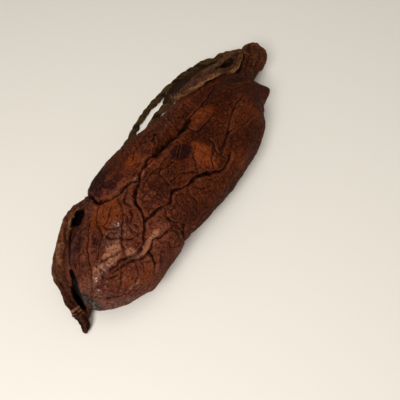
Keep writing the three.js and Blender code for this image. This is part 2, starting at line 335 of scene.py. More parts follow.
# The sausage
# Coarse meat packed into a natural gut, smoked and hung until the skin shrank into folds round its
# lumps. The gut is gathered to a knob at the neck and twisted into a tail beside the rounded end.
SKIN_VOXEL = 0.00052
SKIN_THINNING = 0.72  # share of the even skin's faces that is kept
SKIN_TRIANGLES = 192000  # left once the underside is thinned as well
UNDERSIDE = -0.1  # upward share of a normal below which a point is on the underside
STIFFNESS = 0.3  # share of its own place that a point keeps in each round of smoothing
PORE_ROUNDS = 6
HOLLOW_ROUNDS = 45
BODY_ROWS = 420
BODY_COLUMNS = 460
GIRTH_RADIUS = 0.031  # turns an angle round the casing into metres
END_ROUNDING = 0.024
CORNER_ROUNDING = 0.002
NECK_ROWS = 160
NECK_COLUMNS = 120
NECK_ROUNDING = 0.007
NECK_GATHER = 0.0008
FLAP_ROWS = 240
FLAP_COLUMNS = 90
FLAP_ROUNDING = 0.003
TAIL_RING = 0.0009  # height of the ring of skin where the tail begins
TAIL_RING_PLACE = 0.0135  # and how far it is from the tip
TAIL_RING_BREADTH = 0.0008
SLIT_STARTS = (-0.1045, -0.1)  # x over which the shade in the slit beside the flap comes in
SLIT_ENDS = (-0.088, -0.084)  # and over which it goes out again
WEB_ROWS = 90
WEB_COLUMNS = 60
WEB_ROUNDING = 0.002
BODY_SECTIONS = [  # middle, half width and half height, from the rounded end to the shoulder's corner
    (-0.0994, -0.0099, 0.0165, 0.014, 0.016),
    (-0.09, -0.0079, 0.0195, 0.0218, 0.0205),
    (-0.08, -0.0049, 0.0215, 0.0266, 0.023),
    (-0.066, -0.0022, 0.023, 0.03, 0.0245),
    (-0.05, 0.0006, 0.0245, 0.032, 0.026),
    (-0.032, 0.0029, 0.0255, 0.0338, 0.027),
    (-0.012, 0.0008, 0.0255, 0.0342, 0.027),
    (0.008, -0.0012, 0.0245, 0.033, 0.026),
    (0.028, -0.0012, 0.0235, 0.032, 0.025),
    (0.044, -0.0008, 0.0225, 0.0302, 0.0235),
    (0.056, -0.0012, 0.0215, 0.0266, 0.021),
    (0.066, -0.0028, 0.021, 0.0217, 0.0175),
    (0.074, -0.0065, 0.021, 0.0158, 0.0125),
    (0.0795, -0.0102, 0.0215, 0.0074, 0.007),
    (0.085, -0.014, 0.0224, 0.0012, 0.0018),
]
NECK_SECTIONS = [  # likewise, from inside the shoulder to the end of the knob
    (0.04, 0.006, 0.033, 0.006, 0.006),
    (0.05, 0.0056, 0.031, 0.0074, 0.007),
    (0.062, 0.0052, 0.0274, 0.008, 0.0076),
    (0.074, 0.0056, 0.0234, 0.0076, 0.0072),
    (0.084, 0.0068, 0.0202, 0.0068, 0.0064),
    (0.093, 0.0084, 0.0182, 0.0066, 0.006),
    (0.099, 0.0104, 0.018, 0.0075, 0.0068),
    (0.1042, 0.0116, 0.018, 0.0098, 0.0086),
    (0.11, 0.0146, 0.018, 0.0092, 0.0088),
    (0.1174, 0.0172, 0.018, 0.0084, 0.008),
]
FLAP_SECTIONS = [  # and from the flap's root on the casing down to the tip of the tail
    (-0.052, 0.029, 0.026, 0.0034, 0.005),
    (-0.06, 0.0296, 0.0286, 0.0036, 0.007),
    (-0.0675, 0.0288, 0.0296, 0.0034, 0.0075),
    (-0.0738, 0.0268, 0.0294, 0.0036, 0.0075),
    (-0.0792, 0.0238, 0.0284, 0.004, 0.008),
    (-0.084, 0.0208, 0.027, 0.0054, 0.0085),
    (-0.0892, 0.0168, 0.0248, 0.0069, 0.009),
    (-0.093, 0.0136, 0.0224, 0.0068, 0.0085),
    (-0.0966, 0.0098, 0.0192, 0.0053, 0.0075),
    (-0.0998, 0.0068, 0.0162, 0.0043, 0.0064),
    (-0.1026, 0.0042, 0.0132, 0.0037, 0.0052),
    (-0.1045, 0.0008, 0.0104, 0.0033, 0.004),
    (-0.1057, -0.0028, 0.008, 0.0031, 0.0034),
    (-0.1068, -0.0062, 0.006, 0.0025, 0.0026),
    (-0.1086, -0.0088, 0.0044, 0.0022, 0.0022),
    (-0.1112, -0.0098, 0.0034, 0.0017, 0.0017),
    (-0.1124, -0.0094, 0.0028, 0.0012, 0.0012),
]
WEB_SECTIONS = [  # the sunken skin between the rounded end and the tail, drawn out into the tail
    (-0.0885, 0.021, 0.015, 0.003, 0.0035),
    (-0.0915, 0.0165, 0.013, 0.004, 0.0035),
    (-0.0942, 0.0113, 0.011, 0.0045, 0.0032),
    (-0.0962, 0.006, 0.0095, 0.0048, 0.003),
    (-0.0982, 0.002, 0.0085, 0.0046, 0.0028),
    (-0.1, -0.0018, 0.0078, 0.0036, 0.0026),
    (-0.1014, -0.0038, 0.0072, 0.0028, 0.0024),
    (-0.1038, -0.0052, 0.0062, 0.0022, 0.0022),
    (-0.1066, -0.0066, 0.005, 0.0016, 0.0018),
]
NECK_WEB_SECTIONS = [  # skin gathered between the shoulder and the knob on the side of the strip
    (0.07, 0.012, 0.021, 0.005, 0.005),
    (0.08, 0.0135, 0.0195, 0.005, 0.004),
    (0.088, 0.0155, 0.018, 0.005, 0.0035),
    (0.096, 0.0175, 0.0175, 0.0045, 0.0035),
    (0.103, 0.0195, 0.0175, 0.0035, 0.0035),
]

# Deep folds in the dried skin, each a name, a width, and a path through (x, degrees round, depth).
# 90 degrees is on top and 180 on the side away from the twine.
DEEP_FOLDS = [
    ("long fold, shoulder end", 0.00056, [
        (0.053, 60, 0.0006), (0.043, 71, 0.001), (0.031, 74, 0.0014), (0.021, 75, 0.0018),
        (0.012, 76, 0.0026),
    ]),
    ("long fold, deep part", 0.0028, [
        (0.015, 76, 0.0022), (0.009, 76, 0.0046), (0.003, 75, 0.0066), (-0.004, 75, 0.0068),
        (-0.01, 77, 0.0056), (-0.016, 79, 0.0036),
    ]),
    ("long fold, middle", 0.00067, [
        (-0.014, 78, 0.0036), (-0.02, 79, 0.0032), (-0.027, 83, 0.0028), (-0.033, 89, 0.0028),
        (-0.038, 91, 0.0026), (-0.044, 97, 0.0026),
    ]),
    ("long fold, ridge end", 0.00061, [
        (-0.044, 97, 0.0026), (-0.046, 106, 0.0028), (-0.049, 113, 0.0032), (-0.057, 121, 0.0026),
        (-0.062, 124, 0.0024), (-0.067, 122, 0.0022), (-0.071, 114, 0.0018), (-0.079, 106, 0.0008),
    ]),
    ("right of the ridge", 0.00056, [
        (-0.056, 130, 0.002), (-0.06, 133, 0.0026), (-0.064, 133, 0.0028), (-0.068, 128, 0.0022),
        (-0.072, 120, 0.0018), (-0.08, 110, 0.0008),
    ]),
    ("right fold, low part", 0.00061, [
        (-0.049, 114, 0.003), (-0.043, 118, 0.0026), (-0.037, 123, 0.0022), (-0.031, 125, 0.0022),
        (-0.026, 120, 0.0022), (-0.02, 124, 0.003), (-0.013, 126, 0.0034),
    ]),
    ("right fold, high part", 0.00072, [
        (-0.013, 126, 0.0034), (-0.008, 127, 0.0038), (-0.004, 132, 0.0042), (0.004, 141, 0.0042),
        (0.009, 141, 0.0034), (0.014, 136, 0.0014),
    ]),
    ("flank", 0.00084, [
        (-0.047, 5, 0.001), (-0.047, 35, 0.003), (-0.051, 58, 0.0034), (-0.049, 67, 0.0026),
        (-0.046, 75, 0.0022), (-0.038, 81, 0.002), (-0.033, 88, 0.002),
    ]),
    ("notch", 0.001, [
        (-0.039, 157, 0.0014), (-0.043, 165, 0.0018), (-0.045, 178, 0.0016), (-0.045, 200, 0.0008),
    ]),
]
# Shallower folds that run off or between the deep ones
SHALLOW_FOLDS = [
    ("pillow edge", 0.00082, [
        (-0.056, 130, 0.0018), (-0.053, 136, 0.0022), (-0.048, 138, 0.002), (-0.044, 142, 0.002),
        (-0.043, 152, 0.0022), (-0.045, 164, 0.0018), (-0.049, 168, 0.0008),
    ]),
    ("branch down", 0.00095, [
        (-0.062, 135, 0.0026), (-0.065, 146, 0.0026), (-0.068, 151, 0.0022), (-0.074, 158, 0.0016),
        (-0.08, 168, 0.0008),
    ]),
    ("left seam", 0.00082, [
        (-0.062, 62, 0.0012), (-0.066, 65, 0.0018), (-0.071, 70, 0.0024), (-0.076, 75, 0.0022),
        (-0.08, 82, 0.002), (-0.086, 89, 0.0012), (-0.091, 94, 0.0006),
    ]),
    ("left middle", 0.00075, [
        (-0.05, 62, 0.002), (-0.056, 66, 0.002), (-0.061, 71, 0.0018), (-0.065, 81, 0.0018),
        (-0.072, 85, 0.0014), (-0.079, 90, 0.0008),
    ]),
    ("across the lumps", 0.00061, [
        (-0.064, 80, 0.0012), (-0.065, 89, 0.0016), (-0.063, 100, 0.0016), (-0.061, 109, 0.0018),
        (-0.057, 115, 0.0018), (-0.054, 117, 0.0014),
    ]),
    ("down the lumps", 0.00061, [
        (-0.046, 81, 0.0012), (-0.049, 88, 0.0014), (-0.054, 94, 0.0016), (-0.06, 99, 0.0016),
        (-0.065, 104, 0.0016), (-0.07, 115, 0.0016),
    ]),
    ("shoulder", 0.00082, [
        (0.052, 106, 0.001), (0.041, 107, 0.0014), (0.032, 112, 0.0018), (0.024, 118, 0.0022),
        (0.016, 122, 0.0018), (0.01, 126, 0.001),
    ]),
    ("jagged shoulder", 0.00061, [
        (0.022, 119, 0.0014), (0.028, 122, 0.0018), (0.033, 125, 0.0012), (0.036, 130, 0.002),
        (0.041, 130, 0.0012), (0.046, 132, 0.0008),
    ]),
    ("patch end", 0.00075, [
        (0.027, 95, 0.0006), (0.018, 95, 0.001), (0.011, 93, 0.0016), (0.009, 88, 0.0018),
        (0.011, 78, 0.0018),
    ]),
    ("bulge edge", 0.00068, [
        (0.011, 112, 0.0006), (0.007, 119, 0.0014), (0.002, 124, 0.0014), (0.001, 131, 0.0016),
        (-0.005, 131, 0.0012),
    ]),
    ("bulge foot", 0.00061, [
        (0.002, 102, 0.0006), (-0.004, 109, 0.001), (-0.007, 117, 0.001), (-0.009, 125, 0.0008),
    ]),
    ("fan left", 0.00061, [
        (0.012, 103, 0.0008), (0.01, 115, 0.0012), (0.008, 124, 0.0014), (0.01, 134, 0.001),
    ]),
    ("fan right", 0.00061, [(0.02, 121, 0.0008), (0.014, 126, 0.0012), (0.009, 129, 0.0014)]),
    ("fan between", 0.0006, [(0.016, 112, 0.0006), (0.012, 121, 0.001), (0.009, 128, 0.0012)]),
    ("neck crease", 0.00088, [
        (0.078, 62, 0.001), (0.073, 82, 0.002), (0.063, 91, 0.0016), (0.052, 91, 0.0006),
    ]),
    ("beside the strip", 0.00088, [
        (0.055, 60, 0.0006), (0.045, 60, 0.0012), (0.033, 58, 0.0014), (0.018, 54, 0.0012),
        (0.004, 56, 0.001), (-0.007, 64, 0.0012), (-0.016, 76, 0.001),
    ]),
    ("band cross low", 0.00061, [(-0.006, 56, 0.0012), (-0.009, 66, 0.0018), (-0.014, 76, 0.002)]),
    ("band cross middle", 0.00061, [(0.003, 46, 0.0015), (-0.005, 58, 0.0022), (-0.011, 66, 0.0022)]),
    ("band cross high", 0.00061, [(0.016, 46, 0.0015), (0.007, 55, 0.0018), (-0.002, 64, 0.0018)]),
    ("band cross top", 0.00061, [(0.03, 48, 0.0012), (0.022, 58, 0.0015), (0.012, 66, 0.0012)]),
    ("band outer", 0.00068, [
        (0.012, 40, 0.0009), (0.002, 40, 0.0018), (-0.01, 46, 0.0021), (-0.02, 56, 0.0021),
        (-0.026, 68, 0.0012),
    ]),
    ("inner left", 0.00061, [
        (-0.003, 86, 0.0008), (-0.005, 93, 0.0012), (-0.013, 100, 0.0012), (-0.022, 97, 0.001),
        (-0.024, 108, 0.0012), (-0.025, 118, 0.0012),
    ]),
    ("inner ring", 0.0006, [
        (-0.013, 92, 0.0006), (-0.02, 94, 0.001), (-0.027, 93, 0.0012), (-0.034, 96, 0.0008),
    ]),
    ("inner middle", 0.00061, [
        (-0.024, 112, 0.0008), (-0.017, 112, 0.0012), (-0.011, 118, 0.0012), (-0.009, 125, 0.001),
    ]),
    ("beside the fold", 0.00061, [(-0.03, 85, 0.001), (-0.022, 84, 0.0012), (-0.016, 86, 0.0008)]),
    ("skin ridge foot", 0.00061, [
        (-0.035, 82, 0.0012), (-0.041, 84, 0.0014), (-0.046, 88, 0.0012), (-0.046, 94, 0.001),
    ]),
    ("upper pillow", 0.00068, [
        (-0.038, 124, 0.001), (-0.042, 130, 0.0016), (-0.043, 138, 0.0016), (-0.04, 148, 0.0014),
        (-0.038, 158, 0.0008),
    ]),
    ("inside the pillow", 0.0006, [
        (-0.052, 135, 0.0008), (-0.048, 141, 0.001), (-0.046, 148, 0.0012), (-0.048, 158, 0.0008),
    ]),
    ("under the pillow", 0.00061, [
        (-0.055, 138, 0.0012), (-0.053, 146, 0.0014), (-0.054, 156, 0.0012), (-0.05, 166, 0.0008),
    ]),
    ("lump divide", 0.00061, [
        (-0.071, 128, 0.0008), (-0.074, 134, 0.0012), (-0.079, 137, 0.0012), (-0.085, 146, 0.0006),
    ]),
    ("lower left edge", 0.00068, [
        (-0.073, 119, 0.0012), (-0.076, 117, 0.0014), (-0.08, 121, 0.0012), (-0.086, 127, 0.0006),
    ]),
    ("amber divide", 0.0006, [(-0.05, 79, 0.0008), (-0.054, 81, 0.0014), (-0.06, 81, 0.0008)]),
    ("amber foot", 0.00061, [
        (-0.059, 70, 0.0008), (-0.061, 80, 0.0012), (-0.06, 90, 0.0012), (-0.057, 97, 0.0006),
    ]),
    ("lump net left", 0.0006, [
        (-0.05, 90, 0.0008), (-0.053, 98, 0.0012), (-0.057, 106, 0.0012), (-0.057, 114, 0.0008),
    ]),
    ("lump net right", 0.0006, [(-0.048, 97, 0.0008), (-0.053, 103, 0.001), (-0.054, 110, 0.001)]),
    ("lower arc", 0.00061, [
        (-0.077, 92, 0.0008), (-0.074, 99, 0.0014), (-0.069, 107, 0.0014), (-0.065, 112, 0.0008),
    ]),
    ("lower net", 0.00061, [
        (-0.08, 96, 0.0008), (-0.083, 103, 0.0012), (-0.082, 111, 0.001), (-0.079, 116, 0.0008),
    ]),
    ("right net", 0.00061, [
        (-0.018, 128, 0.0012), (-0.019, 137, 0.0014), (-0.018, 146, 0.0012), (-0.021, 154, 0.0006),
    ]),
    ("right net top", 0.00061, [(-0.015, 129, 0.0008), (-0.013, 137, 0.0012), (-0.008, 142, 0.0008)]),
    ("right net low", 0.00061, [
        (-0.027, 126, 0.0008), (-0.029, 135, 0.0012), (-0.027, 145, 0.0012), (-0.03, 156, 0.0008),
    ]),
    ("left seam twin", 0.0006, [(-0.078, 62, 0.0004), (-0.083, 66, 0.0007), (-0.088, 70, 0.0004)]),
    ("far side long", 0.00075, [
        (0.05, 158, 0.0005), (0.03, 166, 0.0009), (0.01, 172, 0.001), (-0.01, 176, 0.0009),
        (-0.026, 180, 0.0005),
    ]),
    ("far side short", 0.00075, [
        (0.02, 186, 0.0005), (0, 194, 0.001), (-0.02, 196, 0.0009), (-0.034, 190, 0.0005),
    ]),
    ("twine side long", 0.00095, [
        (0.045, 30, 0.0008), (0.02, 24, 0.0016), (-0.005, 28, 0.0016), (-0.03, 22, 0.001),
    ]),
    ("twine side short", 0.00088, [
        (0.03, 8, 0.0008), (0.005, 6, 0.0014), (-0.02, 10, 0.0012), (-0.038, 14, 0.0006),
    ]),
    ("end across", 0.00082, [
        (-0.084, 150, 0.0006), (-0.088, 135, 0.001), (-0.09, 118, 0.001), (-0.091, 100, 0.0006),
    ]),
]
# Lumps that press the skin out, as x, degrees round, half length, half width and height
LUMPS = [
    (0, 116, 0.009, 0.009, 0.0022),
    (0.021, 85, 0.01, 0.0055, 0.0014),
    (-0.054, 79, 0.0065, 0.008, 0.0022),
    (-0.041, 52, 0.009, 0.014, 0.002),
    (-0.049, 150, 0.006, 0.009, 0.0018),
    (-0.047, 131, 0.0055, 0.006, 0.0012),
    (-0.074, 143, 0.008, 0.008, 0.002),
    (-0.08, 128, 0.007, 0.0065, 0.0016),
    (-0.058, 126, 0.0065, 0.0022, 0.0016),
    (-0.076, 62, 0.012, 0.008, 0.0016),
    (-0.016, 105, 0.009, 0.009, 0.0012),
    (0.04, 118, 0.009, 0.007, 0.001),
    (-0.005, 150, 0.012, 0.009, 0.0012),
    (0.02, 145, 0.014, 0.01, 0.0012),
    (-0.057, 103, 0.005, 0.006, 0.001),
    (-0.069, 97, 0.0055, 0.005, 0.001),
    (-0.03, 86, 0.008, 0.0016, 0.0014),
]
PILLOW_HEIGHT = 0.0012  # how far the casing between the deep folds stands out
PILLOW_SPREAD = 0.0024
PILLOW_LEVEL = 0.16
LUMP_FLATNESS = 1.3
SWELL_HEIGHT = 0.0005  # of the broad unevenness of the whole casing
BAND_MIDDLE = (0.004, 0.0305)  # of the wrinkled band beside the long fold, on the unrolled casing
BAND_REACH = (0.026, 0.0065)
BAND_WRINKLE = 0.00042
BAND_WRINKLE_PITCH = 0.0034
PLAIN_PAST = (0.074, 0.085)  # x between which the relief dies out into the shoulder's corner
FOLD_STEP = 0.0006
GROOVE_CUT = 0.3  # share of a fold's depth that is a sharp cut in its rounded groove
LIP_SHARE = 0.18  # height of a fold's lips, as a share of its depth
LIP_PLACE = 2.3  # how far from the fold they stand, and how broad they are, in its widths
LIP_BREADTH = 1.1
CROOKEDNESS = 0.0003  # how far the edges of the folds wander
CREASE_THINNEST = 0.00015  # half width of a fold's dark line of painted shade, beside the share of the fold's width below
DEEP_CREASE = 0.5
SHALLOW_CREASE = 0.18
CREASE_FULL_DEPTH = 0.002  # depth from which a fold's dark line is whole
CREASE_FAR = 4.0  # half widths at which a point is on no crease
CREASE_ENDS = (0.0007, 0.0012)  # past its edge a crease's mark begins to end, and has ended
SHADE_FULL_DEPTH = 0.003  # depth from which a deep fold's soft shade is whole
# Hollows between the flap and the sausage: the level that is left alone and the one that sinks whole,
# how far the skin sinks and which way, and points on their mouths with the half width there
HOLLOWS = [
    (0.024, 0.028, 0.0075, (0.145, 0.444, -0.884), [
        (-0.0612, 0.0266, 0.033, 0.0009), (-0.0632, 0.0268, 0.0317, 0.0023),
        (-0.0652, 0.0264, 0.0303, 0.0019), (-0.0672, 0.0263, 0.0298, 0.0022),
        (-0.069, 0.0262, 0.0299, 0.001),
    ]),
    (0.004, 0.008, 0.006, (0.021, 0.354, -0.935), [
        (-0.091, 0.0064, 0.037, 0.0007), (-0.0922, 0.0051, 0.0334, 0.001),
        (-0.0943, 0.0058, 0.0237, 0.0015), (-0.0969, 0.0043, 0.0195, 0.0018),
        (-0.0987, 0.0022, 0.0169, 0.0019), (-0.1004, 0.0001, 0.0131, 0.0014),
        (-0.1013, -0.0016, 0.0103, 0.001), (-0.1015, -0.0034, 0.0095, 0.0006),
    ]),
    (0.02, 0.026, 0.0018, (0.092, 0.427, -0.9), [
        (-0.0735, 0.0234, 0.034, 0.0004), (-0.0753, 0.0223, 0.0337, 0.0006),
        (-0.078, 0.0206, 0.0328, 0.0006), (-0.0809, 0.017, 0.0356, 0.0005),
        (-0.0838, 0.0135, 0.0384, 0.0005), (-0.0873, 0.0103, 0.038, 0.0003),
        (-0.0905, 0.0068, 0.0374, 0.0004),
    ]),
]
HOLLOW_EDGE = 0.0006
HOLLOW_STEP = 0.0004


def unrolled(x, degrees):
    return np.stack([np.asarray(x, float), np.radians(degrees) * GIRTH_RADIUS], axis=-1)


def oval_spread(place, x, degrees, long, wide):
    """Squared distance from the middle of an oval on the unrolled casing, 1 at its edge."""
    middle = unrolled(x, degrees)
    return ((place[..., 0] - middle[0]) / long) ** 2 + ((place[..., 1] - middle[1]) / wide) ** 2


def fold_line(path):
    """Points along a fold on the unrolled casing, each with the fold's depth there."""
    path = np.array(path, float)
    rows = np.column_stack([unrolled(path[:, 0], path[:, 1]), np.zeros(len(path)), path[:, 2]])
    line = evenly_along(rows, FOLD_STEP)
    return line[:, :2], line[:, 3]


def steps_between(low, high, values):
    t = np.clip((values - low) / (high - low), 0, 1)
    return t * t * (3 - 2 * t)


# How the dried filling shows through the gut, with a painted sheen and shade among it where marked: x,
# degrees round, half length, half width and strength
STAINS = {
    "fat": [
        (0.001, 115, 0.006, 0.0095, 1.0), (0.021, 85, 0.012, 0.005, 1.0),
        (0.04, 114, 0.008, 0.007, 0.55), (0.05, 134, 0.009, 0.008, 0.55),
        (-0.055, 76, 0.0075, 0.007, 1.7), (-0.0262, 68.5, 0.0046, 0.004, 1.1),
        (-0.079, 128, 0.0085, 0.0065, 0.66), (-0.073, 145, 0.0085, 0.008, 0.68),
        (0.008, 82, 0.006, 0.004, 0.6), (-0.025, 92, 0.006, 0.006, 0.45),
        (0.02, 155, 0.018, 0.01, 0.5),
    ],
    "dry": [
        (-0.072, 101, 0.006, 0.0045, 1.15), (-0.082, 93, 0.005, 0.0035, 1.0),
        (-0.057, 109, 0.0045, 0.0045, 0.45), (-0.049, 128, 0.006, 0.0055, 0.33),
        (-0.047, 150, 0.005, 0.0075, 0.3), (-0.058, 128, 0.0075, 0.0022, 1.0),
        (-0.067, 117, 0.003, 0.005, 1.0), (-0.032, 87, 0.009, 0.0016, 0.6),
        (-0.037, 128, 0.004, 0.005, 0.3), (-0.012, 131, 0.007, 0.005, 0.28),
        (-0.081, 139, 0.006, 0.0016, 0.7),
    ],
    "lean": [
        (-0.007, 97.5, 0.0052, 0.0036, 1.7), (-0.044, 50, 0.01, 0.009, 0.95),
        (-0.041, 66, 0.008, 0.0055, 0.65), (-0.076, 62, 0.009, 0.008, 0.74),
        (-0.083, 74, 0.006, 0.006, 0.62), (-0.068, 79, 0.004, 0.004, 0.7),
        (-0.088, 122, 0.006, 0.005, 0.5), (-0.02, 58, 0.012, 0.005, 0.5),
        (0.012, 50, 0.014, 0.005, 0.4),
    ],
    # bloom is fat come out on the skin, glossy under its coat; its paler mauve colour is partly a painted
    # sheen
    "bloom": [
        (-0.061, 94, 0.005, 0.005, 1.0), (-0.066, 88, 0.0045, 0.004, 0.9),
        (-0.095, 82, 0.007, 0.008, 1.3), (-0.094, 108, 0.006, 0.009, 1.3),
        (-0.091, 150, 0.006, 0.014, 0.7), (-0.0865, 92, 0.005, 0.008, 0.7),
        (-0.077, 137, 0.011, 0.011, 0.35), (-0.08, 100, 0.006, 0.005, 0.5),
    ],
    "ash": [
        (-0.0945, 86, 0.0035, 0.014, 1.3), (-0.0968, 112, 0.0028, 0.012, 1.1),
        (-0.094, 60, 0.004, 0.012, 1.0),
    ],
    "soot": [
        (-0.03, 111, 0.009, 0.008, 0.24), (0.042, 94, 0.013, 0.0075, 0.3),
        (0.059, 73, 0.012, 0.0035, 1.1), (0.0125, 97, 0.0065, 0.007, 0.85),
        (0.051, 92, 0.009, 0.009, 0.2), (0.062, 95, 0.01, 0.01, 0.2),
        # the patch at -0.065 and 40 degrees is painted shade in the hollow between the flap and the body
        (-0.019, 100, 0.006, 0.005, 0.42), (-0.065, 40, 0.012, 0.006, 1.0),
        (-0.03, 150, 0.012, 0.006, 0.4), (-0.052, 152, 0.014, 0.007, 0.45),
        (0.06, 130, 0.012, 0.008, 0.5), (0.084, 110, 0.007, 0.07, 0.6),
        (-0.0064, 98, 0.0036, 0.003, 1.2), (-0.04, 42, 0.01, 0.008, 0.45),
        (0.045, 150, 0.02, 0.008, 0.35),
    ],
    "netted": [
        (0.049, 92, 0.012, 0.011, 1.2), (0.033, 88, 0.009, 0.005, 0.7),
        (-0.021, 104, 0.008, 0.009, 0.8),
    ],
}
STAIN_FALLOFF = 0.7
END_PACING = 0.3  # how much more closely sections are paced at both ends of a spine


def stain_field(stains, place):
    """Soft field of one kind of stain over the unrolled casing."""
    field = np.zeros(place.shape[:-1])
    for x, degrees, long, wide, strength in stains:
        spread = oval_spread(place, x, degrees, long, wide)
        field = np.maximum(field, strength * np.exp(-STAIN_FALLOFF * spread))
    return field


def casing_relief(x, degrees):
    """Relief over a grid of rows at x and columns at degrees. Gives its height, its soft shade in the deep
    folds, the strength of the nearest crease, the side of it that each point is on, in half widths, and
    each point's place on the unrolled casing."""
    place = unrolled(*np.meshgrid(x, np.where(degrees < -90, degrees + 360, degrees), indexing="ij"))
    along, across = place[..., 0], place[..., 1]
    bent_along = np.sin(across / 0.0011 + 2 * np.sin(along / 0.0023))
    bent_across = np.sin(along / 0.0013 + 2 * np.sin(across / 0.0019))
    crooked = place + CROOKEDNESS * np.stack([bent_along, bent_across], axis=-1)
    groove, lip, shade, crease = (np.zeros(place.shape[:2]) for _ in range(4))
    past, nearest = (np.ones(place.shape[:2]) for _ in range(2))
    side = np.full(place.shape[:2], CREASE_FAR)
    for folds, deep in ((DEEP_FOLDS, True), (SHALLOW_FOLDS, False)):
        for _, width, path in folds:
            line, depth = fold_line(path)
            reach = 4 * PILLOW_SPREAD if deep else 5 * width
            near = np.all((place > line.min(axis=0) - reach) & (place < line.max(axis=0) + reach), axis=2)
            rows, columns = np.flatnonzero(near.any(axis=1)), np.flatnonzero(near.any(axis=0))
            if not len(rows) or not len(columns):
                continue
            window = np.ix_(rows, columns)
            distance = np.linalg.norm(crooked[window][:, :, None] - line, axis=3)
            closest = distance.argmin(axis=2)
            distance = distance.min(axis=2)
            local = depth[closest]
            cut = np.exp(-distance / (0.9 * width))
            shape = (1 - GROOVE_CUT) * bell(distance, width) + GROOVE_CUT * cut
            groove[window] = np.maximum(groove[window], local * shape)
            raised = LIP_SHARE * local * bell(distance - LIP_PLACE * width, LIP_BREADTH * width)
            lip[window] = np.maximum(lip[window], raised)
            half = CREASE_THINNEST + (DEEP_CREASE if deep else SHALLOW_CREASE) * width
            forward = np.gradient(line, axis=0)[closest]
            gap = crooked[window] - line[closest]
            turned = np.sign(forward[..., 0] * gap[..., 1] - forward[..., 1] * gap[..., 0])
            halves_off = np.clip(turned * distance / half, -CREASE_FAR, CREASE_FAR)
            ended = steps_between(half + CREASE_ENDS[0], half + CREASE_ENDS[1], distance)
            closer = distance - half < past[window]
            strength = np.minimum(local / CREASE_FULL_DEPTH, 1) * (1 - ended)
            crease[window] = np.where(closer, strength, crease[window])
            side[window] = np.where(closer, halves_off, side[window])
            past[window] = np.where(closer, distance - half, past[window])
            if deep:
                soft = 0.5 * np.minimum(local / SHADE_FULL_DEPTH, 1) * bell(distance, 0.0005 + 0.5 * width)
                shade[window] = np.maximum(shade[window], soft)
                nearest[window] = np.minimum(nearest[window], distance)
    height = PILLOW_HEIGHT * (PILLOW_LEVEL - np.exp(-nearest / PILLOW_SPREAD)) + lip - groove
    for lump_x, lump_degrees, long, wide, rise in LUMPS:
        height += rise * np.exp(-(oval_spread(place, lump_x, lump_degrees, long, wide) ** LUMP_FLATNESS))
    swell = np.sin(along / 0.007 + across / 0.011)
    height += SWELL_HEIGHT * swell * np.sin(across / 0.006 - along / 0.013)
    band = bell(along - BAND_MIDDLE[0], BAND_REACH[0], 4) * bell(across - BAND_MIDDLE[1], BAND_REACH[1], 4)
    wander = 1.3 * np.sin(across / 0.0021 + along / 0.006) + 0.8 * np.sin(along / 0.0043)
    height += BAND_WRINKLE * band * np.sin(2 * np.pi * (along + 0.35 * across) / BAND_WRINKLE_PITCH + wander)
    shown = steps_between(-0.9, -0.5, np.sin(np.radians(degrees)))[None, :]
    corner = 1 - steps_between(*PLAIN_PAST, x)[:, None]
    return shown * corner * height, shown * corner * shade, shown * corner * crease, side, place


def paced_sections(sections, rows):
    """Sections on a smooth spine, nearly even along it but closer together at both ends."""
    fine, run = finely_through(sections)
    share = np.linspace(0, 1, rows)
    along = run[-1] * ((1 - END_PACING) * share + END_PACING * (1 - np.cos(np.pi * share)) / 2)
    return np.stack([np.interp(along, run, column) for column in fine.T], axis=1), along


def swept_skin(spine, along, height, start_rounding, end_rounding):
    """Closed grid of points through oval sections, with the relief standing on it."""
    _, aside, above = directions(spine[:, :3])

    def closing(distance, rounding):
        return np.sqrt(np.clip(1 - (1 - np.minimum(distance / rounding, 1)) ** 2, 0, 1))

    closed = (closing(along, start_rounding) * closing(along[-1] - along, end_rounding))[:, None]
    turn = np.radians(np.linspace(-180, 180, height.shape[1], endpoint=False))
    flat = (spine[:, 3, None] + height) * closed * np.cos(turn)
    tall = (spine[:, 4, None] + height) * closed * np.sin(turn)
    return spine[:, None, :3] + aside[:, None] * flat[..., None] + above[:, None] * tall[..., None]


def pleats(along, columns, count, depth, pitch):
    """Relief of gathered skin: uneven pleats that wind round as they run along."""
    turn = np.linspace(-np.pi, np.pi, columns, endpoint=False)[None, :] + 2 * np.pi * along[:, None] / pitch
    waves = np.cos(count * turn) + 0.6 * np.cos((count + 3) * turn + along[:, None] / 0.004)
    return depth * (waves + 0.5 * np.cos((2 * count + 1) * turn - along[:, None] / 0.006))


# The body, with its folds, lumps and stains
body_spine, body_along = paced_sections(BODY_SECTIONS, BODY_ROWS)
body_degrees = np.linspace(-180, 180, BODY_COLUMNS, endpoint=False)
body_height, body_shade, body_crease, body_side, body_place = casing_relief(body_spine[:, 0], body_degrees)

# The neck, with its pleats and gathers
neck_spine, neck_along = paced_sections(NECK_SECTIONS, NECK_ROWS)
neck_turn = np.linspace(-np.pi, np.pi, NECK_COLUMNS, endpoint=False)[None, :]
neck_run = neck_along[:, None]
gathers = NECK_GATHER * np.sin(2 * neck_turn + neck_run / 0.005) * np.sin(neck_run / 0.0035)
neck_height = pleats(neck_along, NECK_COLUMNS, count=6, depth=0.0004, pitch=0.3) + gathers

